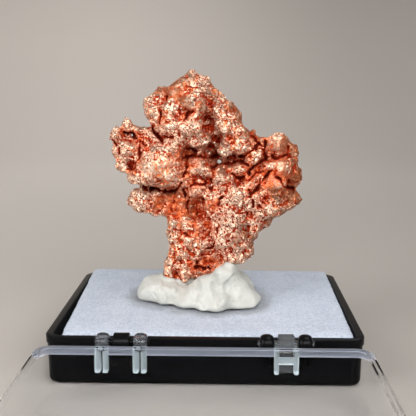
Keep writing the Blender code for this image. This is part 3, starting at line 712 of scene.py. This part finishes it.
def parting(tree, given):
    """Deepens the valleys between the lumps, and cuts crevices and clefts into the front."""
    limits = {"Value": standing_out(tree, 30), "Min": -1.0 * MM, "Max": 0.4 * MM}
    swollen = outward(tree) * (flow(tree, "ShaderNodeClamp", 0, limits) * given["Deepen"])
    crevice = on_lines(given["Crevices"], given["Crevice width"], given["Wander"])
    cleft = on_lines(given["Clefts"], given["Cleft width"], given["Wander"])
    depth = (crevice * given["Crevice depth"]).larger(cleft * given["Cleft depth"])
    inward = flow(tree, "ShaderNodeCombineXYZ", 0, {"Y": depth})
    return moved(given, swollen + inward)


def random_vector(tree, low, high, seed):
    inputs = {0: low, 1: high, "Seed": seed}
    return flow(tree, "FunctionNodeRandomValue", 0, inputs, data_type="FLOAT_VECTOR")


def crystal_crust(tree, given):
    """Small crystals strewn over the growth and grown into it."""
    smooth = on_lines(given["Smooth blocks"], given["Smooth width"], SMOOTH_WANDER)
    crowding = noise(position(tree), 140.0).mapped(0.42, 0.6, 0.1, 1.0) * (1.0 - smooth)
    inputs = {
        "Mesh": given["Geometry"],
        "Distance Min": given["Spacing"],
        "Density Max": given["Per square metre"],
        "Density Factor": crowding,
        "Seed": given["Seed"],
    }
    scatter = add(tree, "GeometryNodeDistributePointsOnFaces", inputs, distribute_method="POISSON")
    down = Flow(scatter.outputs["Normal"]) * (given["Sink"] * -1.0)
    block = flow(tree, "GeometryNodeMeshCube", "Mesh", {"Size": (1.5, 1.5, 1.5)})
    nugget = flow(tree, "GeometryNodeMeshIcoSphere", "Mesh", {"Radius": 1.0, "Subdivisions": 1})
    kinds = add(tree, "GeometryNodeGeometryToInstance", {0: block})
    feed(kinds, {0: nugget})
    inputs = {
        "Points": moved({"Geometry": Flow(scatter.outputs["Points"])}, down),
        "Instance": Flow(kinds.outputs[0]),
        "Pick Instance": True,
        "Rotation": random_vector(tree, (0, 0, 0), (math.tau, math.tau, math.tau), 3),
        "Scale": random_vector(tree, given["Smallest"], given["Largest"], 7),
    }
    joined = add(tree, "GeometryNodeJoinGeometry", {0: given["Geometry"]})
    feed(joined, {0: flow(tree, "GeometryNodeInstanceOnPoints", 0, inputs)})
    return Flow(joined.outputs[0])


def hackle(tree, given):
    """Breaks the growth's surface into tilted facets and pits."""
    place = position(tree)
    coarse = tilted_cells(place, 1.0 / given["Coarse facet"]) * given["Coarse slope"]
    fine = tilted_cells(place, 1.0 / given["Fine facet"]) * given["Fine slope"]
    smooth = on_lines(given["Smooth blocks"], given["Smooth width"], SMOOTH_WANDER)
    facets = (coarse + fine) * smooth.mapped(0.0, 1.0, 1.0, 0.5)
    hollow = cells(place, 1.0 / given["Pit size"]).eased(0.1, 0.42, 1.0, 0.0)
    away = place.vector("DISTANCE", given["Spongy centre"], "Value") / given["Spongy radius"]
    pits = hollow * away.eased(0.7, 1.1, 1.0, 0.1) * given["Pit depth"]
    return moved(given, outward(tree) * (facets - pits))


def weathering_and_painted_shade(tree, given):
    """Stores how deep each point lies, where the metal is stained, where smooth, and where it takes
    painted light, painted shade and tarnish.
    """

    def marked(lines, width, wander=given["Wander"]):
        return on_lines(given[lines], given[width], wander)

    above = standing_out(tree, 5)
    relief = (above / given["Near"] + standing_out(tree, 16) / given["Middle"]).mapped(-1.0, 1.0)
    near = above * -1.0 / given["Near"]
    far = standing_out(tree, 45) * -1.0 / given["Far"]
    cut = marked("Crevices", "Crevice width").larger(marked("Clefts", "Cleft width"))
    crevice = (near.larger(0.0) + far.larger(0.0)).math("ADD", cut, clamp=True)
    blotches = noise(position(tree), 330.0)
    blush = marked("Crevices", "Blush width").larger(marked("Clefts", "Blush width")) * 0.6
    stain = (marked("Stains", "Stain width") * blotches.mapped(0.36, 0.56, 0.3, 1.0)).larger(blush)
    # Painted shade on faces turned right, back and down.
    painted_far_side_shade = outward(tree).dot((0.74, 0.33, -0.58)).eased(0.35, 0.85)
    tarnish = marked("Tarnish", "Tarnish width").larger(painted_far_side_shade)
    # Painted light on the lit faces, painted shade on the shaded ones.
    paleness = marked("Pale faces", "Face width") - marked("Dull faces", "Face width")
    smooth = marked("Smooth blocks", "Smooth width", SMOOTH_WANDER)
    shape = stored(given["Geometry"], "crevice", crevice)
    shape = stored(shape, "stain", stain)
    shape = stored(shape, "tarnish", tarnish * blotches.mapped(0.6, 0.4, 0.3, 1.0))
    shape = stored(shape, "relief", relief)
    shape = stored(shape, "paleness", paleness)
    return stored(shape, "smooth", smooth)


def eyelet_cutters():
    """Ragged rods along the line of sight, which pierce the growth's small openings."""
    shape = bmesh.new()
    rng = random.Random(4)
    for x, z, half_width, half_height in EYELETS:
        outline = []
        for angle in turns(EYELET_SIDES):
            reach = rng.uniform(*EYELET_REACH)
            dx = half_width * reach * math.cos(angle)
            outline.append((dx, half_height * reach * math.sin(angle)))
        rings = []
        for y in EYELET_ENDS:
            drop = EYELET_SLOPE * y
            rings.append([((x + dx) * MM, y * MM, (z + dz - drop) * MM) for dx, dz in outline])
        skin(shape, rings)
    return solid_from("eyelet_cutters", shape)


def make_copper():
    metal = copper_material()
    knobs = [(shift(x, y, z), radius * MM) for x, y, z, radius in KNOBS]
    growth = copy_of_node("copper_growth", "native_copper", knobs)
    cutters = eyelet_cutters()
    marks = {label: line_piece(label, lines) for label, lines in COPPER_MARKS.items()}
    smooth = {"Smooth blocks": marks["Smooth blocks"], "Smooth width": SMOOTH_WIDTH}

    fill_notches(growth, GROWTH_VOXEL, VALLEY_FILL)
    modify(growth, "BOOLEAN", operation="DIFFERENCE", solver="EXACT", object=cutters)
    remesh(growth, PIERCED_VOXEL)
    inputs = {
        "Deepen": 0.3,
        "Crevices": marks["Crevices"],
        "Crevice width": CREVICE_WIDTH,
        "Crevice depth": 1.2 * MM,
        "Clefts": marks["Clefts"],
        "Cleft width": 0.5 * MM,
        "Cleft depth": 2.2 * MM,
        "Wander": CREVICE_WANDER,
    }
    node_step(growth, parting, metal, inputs)
    inputs = {
        "Sink": 0.25 * MM,
        "Spacing": 1.0 * MM,
        "Per square metre": 360_000.0,
        "Smallest": (0.25 * MM, 0.25 * MM, 0.25 * MM),
        "Largest": (0.7 * MM, 0.6 * MM, 0.6 * MM),
        "Seed": 12,
        **smooth,
    }
    node_step(growth, crystal_crust, metal, inputs)
    remesh(growth, COPPER_VOXEL * (1.0))
    inputs = {
        "Coarse facet": 2.2 * MM,
        "Coarse slope": 0.35,
        "Fine facet": 0.9 * MM,
        "Fine slope": 0.45,
        "Pit size": 1.5 * MM,
        "Pit depth": 0.45 * MM,
        "Spongy centre": (9 * MM, -2 * MM, 38 * MM),
        "Spongy radius": 12 * MM,
        **smooth,
    }
    node_step(growth, hackle, metal, inputs)
    settle(growth)

    growth.data.calc_loop_triangles()
    share = COPPER_TRIANGLES / len(growth.data.loop_triangles)
    if share < 1:
        modify(growth, "DECIMATE", ratio=share)
    inputs = {
        "Near": 0.30 * MM,
        "Middle": 0.7 * MM,
        "Far": 1.8 * MM,
        "Crevice width": CREVICE_WIDTH,
        "Cleft width": 0.52 * MM,
        "Wander": CREVICE_WANDER,
        "Blush width": 1.7 * MM,
        "Stain width": 4.5 * MM,
        "Tarnish width": 3.0 * MM,
        "Face width": 4.2 * MM,
        "Smooth width": SMOOTH_WIDTH,
        **marks,
    }
    node_step(growth, weathering_and_painted_shade, metal, inputs)
    settle(growth, (cutters, *marks.values()))
    shade(growth, 32)
    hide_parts("native_copper")
    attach(growth, "box")


# --- putty ---


def putty_material():
    """Off-white putty, a little translucent, with faint ripples."""
    sockets = {
        "Roughness": 0.62,
        "Subsurface Weight": 0.06,
        "Subsurface Radius": (1.0, 0.9, 0.75),
        "Subsurface Scale": 1.2 * MM,
    }
    made, shader, place = new_material("mounting_putty", sockets)
    patches = noise(place, 120.0).mapped(0.35, 0.65)
    feed(shader, {"Base Color": patches.mix(PUTTY_GREY, PUTTY_WHITE)})
    set_bump(shader, noise(place, 650.0, detail=5.0, roughness=0.65) * (0.55 * MM))
    return made


def kneading(tree, given):
    """Presses dents and creases into the putty's front, and leaves it a little uneven."""
    dent = on_lines(given["Dents"], given["Dent width"], 0.6 * MM) * given["Dent depth"]
    crease = on_lines(given["Creases"], given["Crease width"], 0.5 * MM) * given["Crease depth"]
    uneven = (noise(position(tree), 230.0) - 0.5) * given["Unevenness"]
    near = distance_to(given["Specimen"]) / given["Cling reach"]
    cling = near.eased(0.5, 1.0, 1.0, 0.0) * given["Cling height"]
    return moved(given, outward(tree) * (uneven - (dent + crease) + cling))


def make_putty():
    rises = []
    for x, y, z, half_x, half_y, half_z in PUTTY_RISES:
        rises.append((shift(x, y, z) @ Matrix.Diagonal((half_x, half_y, half_z, 1)), MM))
    putty = copy_of_node("putty_lump", "putty", rises, subdivisions=3)
    fill_notches(putty, PUTTY_VOXEL, NOTCH_FILL)
    remesh(putty, PUTTY_VOXEL)
    modify(putty, "SMOOTH", factor=0.5, iterations=22)
    dents = line_piece("dent_lines", PUTTY_DENTS)
    creases = line_piece("crease_lines", PUTTY_CREASES)
    inputs = {
        "Dents": dents,
        "Dent width": 2.0 * MM,
        "Dent depth": 0.65 * MM,
        "Creases": creases,
        "Crease width": 0.55 * MM,
        "Crease depth": 0.42 * MM,
        "Unevenness": 0.6 * MM,
        "Specimen": frame["nodes"]["native_copper"],
        "Cling reach": 1.5 * MM,
        "Cling height": 0.75 * MM,
    }
    node_step(putty, kneading, putty_material(), inputs)
    settle(putty, (dents, creases))
    shade(putty, 180)
    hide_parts("putty")
    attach(putty, "box")


# --- foam ---


def foam_material():
    """White foam: pale cell walls and bluish pores, painted shade greyer toward the back, and
    darker round the putty where it is pressed, partly painted contact shadow.
    """
    made, shader, place = new_material("open_cell_foam", {"Roughness": 0.85, "Sheen Weight": 0.1})
    grains = noise(place, 1500.0, detail=4.0, roughness=0.75)
    clumps = noise(place, 170.0).mapped(0.35, 0.65, -0.12, 0.12)
    colour = (grains.mapped(0.38, 0.62) + clumps).mix(FOAM_PORES, FOAM_WALLS)
    depth = flow(place.tree, "ShaderNodeSeparateXYZ", "Y", {"Vector": place})
    # Painted shade: greyer toward the back.
    colour = depth.mapped(-0.005, 0.03, 0.0, 0.28).mix(colour, FOAM_PAINTED_SHADE_BACK)
    # Round the putty the pressed foam is darkened, partly painted contact shadow.
    colour = (attribute(place, "pressed") * 0.55).mix(colour, FOAM_PRESSED_AND_SHADOWED)
    feed(shader, {"Base Color": colour})
    set_bump(shader, grains * (0.35 * MM) - cells(place, 1900.0) * (0.12 * MM))
    return made


def foam_cells(tree, given):
    """Roughens a cut foam face by the size of its cells, and presses it down round the putty."""
    place = position(tree)
    rough = noise(place, 1.0 / given["Cell"], detail=2.0) - 0.5
    near = distance_to(given["Weight"]) / given["Press reach"]
    wandering = noise(place, 260.0, detail=2.0) - 0.5
    pressed = (near + wandering).eased(0.1, 1.0, 1.0, 0.0)
    height = rough * given["Depth"] - pressed * given["Press depth"]
    return stored(moved(given, outward(tree) * height), "pressed", pressed)


def make_foam():
    foam = copy_of_node("foam_slab", "foam_pad")
    depth = FOAM_HIGH.y - FOAM_LOW.y
    for vertex in foam.data.vertices:
        x, y, z = vertex.co
        if x < 0:
            vertex.co.x += FOAM_SKEW * (FOAM_HIGH.y - y) / depth * x / FOAM_LOW.x
    remesh(foam, FOAM_VOXEL)
    modify(foam, "SMOOTH", factor=0.5, iterations=8)
    inputs = {
        "Cell": 1.1 * MM,
        "Depth": 0.55 * MM,
        "Weight": frame["nodes"]["putty"],
        "Press reach": 4.5 * MM,
        "Press depth": 0.35 * MM,
    }
    node_step(foam, foam_cells, foam_material(), inputs)
    settle(foam)
    shade(foam, 180)
    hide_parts("foam_pad")
    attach(foam, "box")


# --- box halves ---


def black_plastic():
    """Polished black plastic with faint scuffs."""
    sockets = {"Base Color": (*TRAY_BLACK, 1), "Specular IOR Level": 0.07}
    made, shader, place = new_material("polished_black_plastic", sockets)
    scuffs = noise(place, 300.0, detail=6.0, roughness=0.7)
    feed(shader, {"Roughness": scuffs.mapped(0.4, 0.8, 0.10, 0.28)})
    set_bump(shader, scuffs * (0.008 * MM))
    return made


def clear_plastic(name, colour, transmission, ior, roughness):
    sockets = {
        "Base Color": (*colour, 1),
        "Transmission Weight": transmission,
        "IOR": ior,
        "Roughness": roughness,
    }
    return new_material(name, sockets)[0]


def rounded_loop(inset, z):
    """The corner points of a box's outline at one height, drawn in by the inset."""
    radius = max(CORNER_RADIUS - inset, 1.2 * MM)
    half_x = BOX_WIDTH / 2 - inset
    half_y = BOX_DEPTH / 2 - inset
    ring = []
    for quarter, (sx, sy) in enumerate(((1, 1), (-1, 1), (-1, -1), (1, -1))):
        for step in range(CORNER_STEPS + 1):
            angle = math.radians(90 * (quarter + step / CORNER_STEPS))
            x = sx * (half_x - radius) + radius * math.cos(angle)
            y = sy * (half_y - radius) + radius * math.sin(angle)
            ring.append((x, y, z))
    return ring


def half_shell(name):
    """The open box of one half: drafted walls, rounded edges and a proud band round the rim."""
    band_foot = RIM_Z - RIM_BAND
    profile = [(2.0 * MM, 0.0)]
    for angle in arc(90, 5)[1:]:
        inset = DRAFT + FOOT_ROUNDING * (1 - math.sin(angle))
        profile.append((inset, FOOT_ROUNDING * (1 - math.cos(angle))))
    profile += [
        (RIM_PROUD, band_foot - 0.2 * MM),
        (0.08 * MM, band_foot - 0.05 * MM),
        (0.0, band_foot + 0.1 * MM),
        (0.0, RIM_Z - 0.25 * MM),
        (0.07 * MM, RIM_Z - 0.07 * MM),
        (0.25 * MM, RIM_Z),
        (WALL - 0.2 * MM, RIM_Z),
        (WALL, RIM_Z - 0.15 * MM),
        (WALL + 0.3 * MM, FLOOR + 0.9 * MM),
        (WALL + 0.55 * MM, FLOOR + 0.3 * MM),
        (WALL + 1.1 * MM, FLOOR),
    ]
    shape = bmesh.new()
    skin(shape, [rounded_loop(inset, z) for inset, z in profile])
    return solid_from(name, shape)


def bar(name, low, high, bevel=0.0):
    """A box between two corners with its edges rounded."""
    shape = bmesh.new()
    size = Vector(high) - Vector(low)
    middle = (Vector(high) + Vector(low)) / 2
    matrix = Matrix.Translation(middle) @ Matrix.Diagonal((*size, 1))
    bmesh.ops.create_cube(shape, size=1, matrix=matrix)
    if bevel:
        edges = shape.edges[:]
        bmesh.ops.bevel(shape, geom=edges, offset=bevel, segments=4, profile=0.5, affect="EDGES")
    return solid_from(name, shape)


def prism(name, outline, x0, x1):
    """An outline of (y, z) points carried along X."""
    shape = bmesh.new()
    skin(shape, [[(x, y, z) for y, z in outline] for x in (x0, x1)])
    return solid_from(name, shape)


def turned(name, profile, station):
    """A closed outline of (x, radius) points turned round the hinge line at one station."""
    shape = bmesh.new()
    rings = []
    for angle in turns(KNUCKLE_SEGMENTS):
        y, z = math.cos(angle), math.sin(angle)
        rings.append([(station + x, HINGE_Y + r * y, RIM_Z + r * z) for x, r in profile])
    skin(shape, rings, closed=True)
    bmesh.ops.remove_doubles(shape, verts=shape.verts, dist=MERGE_DISTANCE)
    slivers = [face for face in shape.faces if face.calc_area() < 1e-14]
    bmesh.ops.delete(shape, geom=slivers, context="FACES")
    return solid_from(name, shape)


def arc_profile(half, radius, corner, inner, stretch=1.0):
    """Outline of a drum with rounded shoulders, outside its hole: (x, radius) points."""
    points = [(-half, inner)]
    for angle in arc(90, 6):
        x = -half + stretch * corner * (1 - math.cos(angle))
        points.append((x, radius - corner * (1 - math.sin(angle))))
    return points + [(-x, r) for x, r in reversed(points)]


def pin_profile():
    """Outline of the left pin from its end inwards: a nub, a bead inside the ear and a neck."""
    points = [(-PIN_REACH, 0.0), (-PIN_REACH, 0.45 * MM), (-PIN_REACH + 0.3 * MM, PIN_RADIUS)]
    for angle in arc(100, 8, 40):
        x = -EAR_CENTRE - BEAD_RADIUS * math.cos(angle)
        points.append((x, BEAD_RADIUS * math.sin(angle)))
    return points


def ribs(name, station, rib_place, rib_width, web_width):
    """A pair of upright ribs on a thin web, each that far from the station."""
    foot = RIM_Z - RIB_LENGTH
    made = []
    for index, place in enumerate((-rib_place, rib_place)):
        low = (station + place - rib_width / 2, RIB_FRONT_Y, foot)
        high = (station + place + rib_width / 2, HINGE_WALL_Y + WALL_BITE, RIM_Z - 0.35 * MM)
        made.append(bar(f"{name}_rib_{index}", low, high, 0.5 * MM))
    low = (station - web_width / 2, RIB_FRONT_Y + 0.85 * MM, foot + 0.3 * MM)
    high = (station + web_width / 2, HINGE_WALL_Y + WALL_BITE, RIM_Z - 0.45 * MM)
    made.append(bar(f"{name}_web", low, high, 0.1 * MM))
    return made


def hinge_arm(name, station, width, stop):
    """The short bridge from the wall to that far from the hinge line."""
    low = (station - width / 2, HINGE_Y + stop, RIM_Z - 1.6 * MM)
    high = (station + width / 2, -BOX_DEPTH / 2 + WALL_BITE, RIM_Z - 0.45 * MM)
    return bar(name, low, high)


def tab(name):
    """The tab between two ears: a drum with a pin out of each side, its arm, ribs and cross."""
    station = -HINGE_STATION
    drum = arc_profile(TAB_WIDTH / 2, TAB_RADIUS, 0.3 * MM, PIN_RADIUS)
    pin = pin_profile()
    pin_end = [(-x, radius) for x, radius in reversed(pin)]
    cross_low = (station - TAB_RIB_PLACE, RIB_FRONT_Y, RIM_Z - TAB_CROSS_LOW)
    cross_high = (station + TAB_RIB_PLACE, HINGE_WALL_Y + WALL_BITE, RIM_Z - TAB_CROSS_HIGH)
    return [
        turned(f"{name}_tab", pin + drum + pin_end, station),
        hinge_arm(f"{name}_tab_arm", station, TAB_ARM_WIDTH, 0.6 * MM),
        bar(f"{name}_tab_cross", cross_low, cross_high, 0.25 * MM),
    ] + ribs(f"{name}_tab", station, TAB_RIB_PLACE, TAB_RIB_WIDTH, TAB_WEB_WIDTH)


def ears(name):
    """The two ears that clip over the other half's pins, each on an arm and a pair of ribs."""
    ring = arc_profile(EAR_HALF_WIDTH, EAR_RADIUS, EAR_ROUNDING, EYE_RADIUS, 1.5)
    made = []
    for label, side in (("inner", -1), ("outer", 1)):
        ear = f"{name}_{label}_ear"
        station = HINGE_STATION + side * EAR_CENTRE
        made.append(turned(ear, ring, station))
        made.append(hinge_arm(f"{ear}_arm", station, EAR_ARM_WIDTH, 1.55 * MM))
        made += ribs(ear, station, EAR_RIB_PLACE, EAR_RIB_WIDTH, EAR_WEB_WIDTH)
    return made


def latch(name):
    """The tongue with its barb, and the wedge that the other half's barb snaps behind."""
    wall = BOX_DEPTH / 2
    inner = wall + HOOK_GAP
    outer = inner + HOOK_THICKNESS
    low = RIM_Z - 6 * MM
    top = RIM_Z + HOOK_RISE
    tongue = (
        (wall - 0.6 * MM, low),
        (inner, low),
        (outer, low + 1.2 * MM),
        (outer, top - 0.5 * MM),
        (wall + 0.7 * HOOK_THICKNESS, top),
        (wall - 0.1 * MM, top - 0.9 * MM),
        (inner, top - 1.3 * MM),
        (inner, RIM_Z - 2.4 * MM),
        (wall - 0.6 * MM, RIM_Z - 2.4 * MM),
    )
    wedge_top = RIM_Z - CATCH_DROP + 1.1 * MM
    wedge = (
        (wall - 0.9 * MM, wedge_top - 1.4 * MM),
        (wall - 0.1 * MM, wedge_top - 1.4 * MM),
        (wall + 0.55 * MM, wedge_top - 1.0 * MM),
        (wall + 0.1 * MM, wedge_top + 0.2 * MM),
        (wall - 0.9 * MM, wedge_top + 0.2 * MM),
    )
    hook_x = LATCH_OFFSET - LATCH_WIDTH / 2
    catch_x = -LATCH_OFFSET - LATCH_WIDTH / 2 + 0.4 * MM
    return [
        prism(f"{name}_hook", tongue, hook_x, hook_x + LATCH_WIDTH),
        prism(f"{name}_catch", wedge, catch_x, catch_x + LATCH_WIDTH - 0.8 * MM),
    ]


def box_half(name):
    """One moulding: the open box, its hinge tab on the left, ears on the right and latch behind."""
    half = half_shell(name)
    tools = tab(name) + ears(name) + latch(name)
    for tool in tools:
        modify(half, "BOOLEAN", operation="UNION", solver="EXACT", object=tool)
    settle(half, tools)
    return half


def finish_half(half, node, body, materials):
    half.data.materials.clear()
    for finish in materials:
        half.data.materials.append(finish)
    shade(half, 30)
    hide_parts(node)
    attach(half, body)


def add_mould_marks(tray):
    """The faint rings that ejector pins left on the hinge wall."""
    shape = bmesh.new()
    shape.from_mesh(tray.data)
    wall_y = HINGE_WALL_Y - 0.05 * MM
    for x, z in MOULD_MARKS:
        rings = []
        for angle in turns(MARK_SEGMENTS):
            across, up = math.cos(angle), math.sin(angle)
            ring = []
            for turn in turns(MARK_SIDES):
                radius = MARK_RADIUS + MARK_THICKNESS * math.cos(turn)
                depth = wall_y - MARK_THICKNESS * math.sin(turn)
                ring.append((x * MM + radius * across, depth, z * MM + radius * up))
            rings.append(ring)
        bmesh.ops.recalc_face_normals(shape, faces=skin(shape, rings, closed=True))
    shape.to_mesh(tray.data)
    shape.free()


def make_tray():
    tray = box_half("black_tray")
    add_mould_marks(tray)
    finish_half(tray, "tray", "box", (black_plastic(),))


# The lid's finishes: one plastic, clear, matt on the rim band, thick and curved at the hinge,
# milky in the ribs under it, and smoky where the black pin shows through an ear.
CLEAR, MATT_BAND, THICK_HINGE, MILKY_RIB, SMOKY_EAR = range(5)
LID_FINISHES = (
    ("clear_polystyrene", (0.97, 0.98, 0.99), 1.0, 1.03, 0.01),
    ("matt_band_polystyrene", (0.60, 0.65, 0.78), 0.80, 1.3, 0.35),
    ("hinge_polystyrene", (0.92, 0.96, 1.0), 0.96, 1.16, 0.03),
    ("milky_rib_polystyrene", (0.50, 0.57, 0.60), 0.45, 1.4, 0.25),
    ("smoky_ear_polystyrene", (0.32, 0.36, 0.42), 0.96, 1.30, 0.08),
)


def lid_finish(face):
    """Which of the lid's finishes a face takes, while the lid still lies as it left the mould."""
    x, y, z = face.center
    wall_y = -BOX_DEPTH / 2
    if y >= wall_y - 0.1 * MM:
        by_hinge = y < wall_y + CORNER_RADIUS and face.normal.z < 0.9
        return MATT_BAND if by_hinge and z > RIM_Z - RIM_BAND - 0.3 * MM else CLEAR
    from_ear = abs(x - HINGE_STATION) - EAR_CENTRE
    from_tab = abs(x + HINGE_STATION)
    if z > RIM_Z - RIM_BAND:
        in_ear = abs(from_ear) < EAR_HALF_WIDTH + 0.1 * MM and y < HINGE_Y + EYE_RADIUS
        return SMOKY_EAR if in_ear else THICK_HINGE
    in_ear_rib = abs(abs(from_ear) - EAR_RIB_PLACE) < EAR_RIB_WIDTH / 2 + 0.02 * MM
    in_tab_rib = abs(from_tab - TAB_RIB_PLACE) < TAB_RIB_WIDTH / 2 + 0.02 * MM
    in_cross = from_tab < TAB_RIB_PLACE and RIM_Z - TAB_CROSS_LOW < z < RIM_Z - TAB_CROSS_HIGH
    return MILKY_RIB if in_ear_rib or in_tab_rib or in_cross else THICK_HINGE


def make_lid():
    """The same moulding in clear plastic, turned half round the hinge so that it lies open."""
    lid = box_half("clear_lid")
    places = [lid_finish(face) for face in lid.data.polygons]
    hinge = Matrix.Translation((0, HINGE_Y, 0))
    lid.data.transform(hinge @ Matrix.Rotation(math.pi, 4, "Z") @ hinge.inverted())
    finishes = [clear_plastic(*finish) for finish in LID_FINISHES]
    finish_half(lid, "lid", "lid", finishes)
    lid.data.polygons.foreach_set("material_index", places)


# --- stage ---


def backdrop_paper():
    """Pale paper, with painted light on the left and painted shade darker to the right, and darker
    on the floor.
    """
    made, shader, place = new_material("backdrop_paper", {"Roughness": 0.9})
    parts = add(place.tree, "ShaderNodeSeparateXYZ", {"Vector": place}).outputs
    # Painted light on the left, painted shade darker to the right.
    colour = Flow(parts["X"]).eased(-0.2, 0.2).mix(PAPER_PAINTED_LIGHT_LEFT, PAPER_PAINTED_SHADE_RIGHT)
    colour = Flow(parts["Z"]).mapped(0.0, 0.12, 0.22, 0.0).mix(colour, PAPER_FLOOR)
    feed(shader, {"Base Color": colour})
    return made


def make_backdrop():
    """A flat floor that curves up all round."""
    profile = [(FLOOR_RADIUS / 2, 0.0), (FLOOR_RADIUS, 0.0)]
    for angle in arc(90, 12)[1:]:
        rise = BOWL_CURVE * (1 - math.cos(angle))
        profile.append((FLOOR_RADIUS + BOWL_CURVE * math.sin(angle), rise))
    profile.append((FLOOR_RADIUS + BOWL_CURVE, BOWL_TOP))
    rings = []
    for r, z in profile:
        rings.append([(r * math.cos(turn), r * math.sin(turn), z) for turn in turns(BOWL_SEGMENTS)])
    shape = bmesh.new()
    skin(shape, rings, caps=(0,))
    bmesh.ops.recalc_face_normals(shape, faces=shape.faces)
    bmesh.ops.reverse_faces(shape, faces=shape.faces)
    bowl = piece_from("backdrop", shape)
    bowl.data.shade_smooth()
    bowl.location.z = -0.05 * MM
    bowl.data.materials.append(backdrop_paper())


def make_lights():
    for name, place, aim, size, power in SOFTBOXES:
        lamp = bpy.data.lights.new(name, "AREA")
        lamp.shape = "RECTANGLE"
        lamp.size, lamp.size_y = size
        lamp.energy = power
        holder = object_of(name, lamp)
        holder.location = place
        holder.rotation_euler = (Vector(aim) - Vector(place)).to_track_quat("-Z", "Y").to_euler()
    world = bpy.data.worlds.new("studio")
    world.use_nodes = True
    glow = {"Color": (*WORLD_GLOW, 1), "Strength": WORLD_STRENGTH}
    feed(world.node_tree.nodes["Background"], glow)
    bpy.context.scene.world = world
    bpy.context.scene.view_settings.view_transform = "Standard"


def make_camera():
    pitch = math.radians(CAMERA_PITCH)
    right = Vector((1, 0, 0))
    forward = Vector((0, math.cos(pitch), -math.sin(pitch)))
    data = bpy.data.cameras.new("camera")
    data.sensor_width = SENSOR
    data.lens = LENS
    data.clip_start = 0.01
    camera = object_of("camera", data)
    turn = Matrix((right, right.cross(forward), -forward)).transposed().to_4x4()
    yaw = Matrix.Rotation(math.radians(CAMERA_YAW), 4, "Z")
    roll = Matrix.Rotation(math.radians(CAMERA_ROLL), 4, "Z")
    camera.matrix_world = Matrix.Translation(CAMERA_PLACE) @ yaw @ turn @ roll
    bpy.context.scene.camera = camera


make_camera()
make_backdrop()
make_lights()
make_copper()
make_putty()
make_foam()
make_tray()
make_lid()
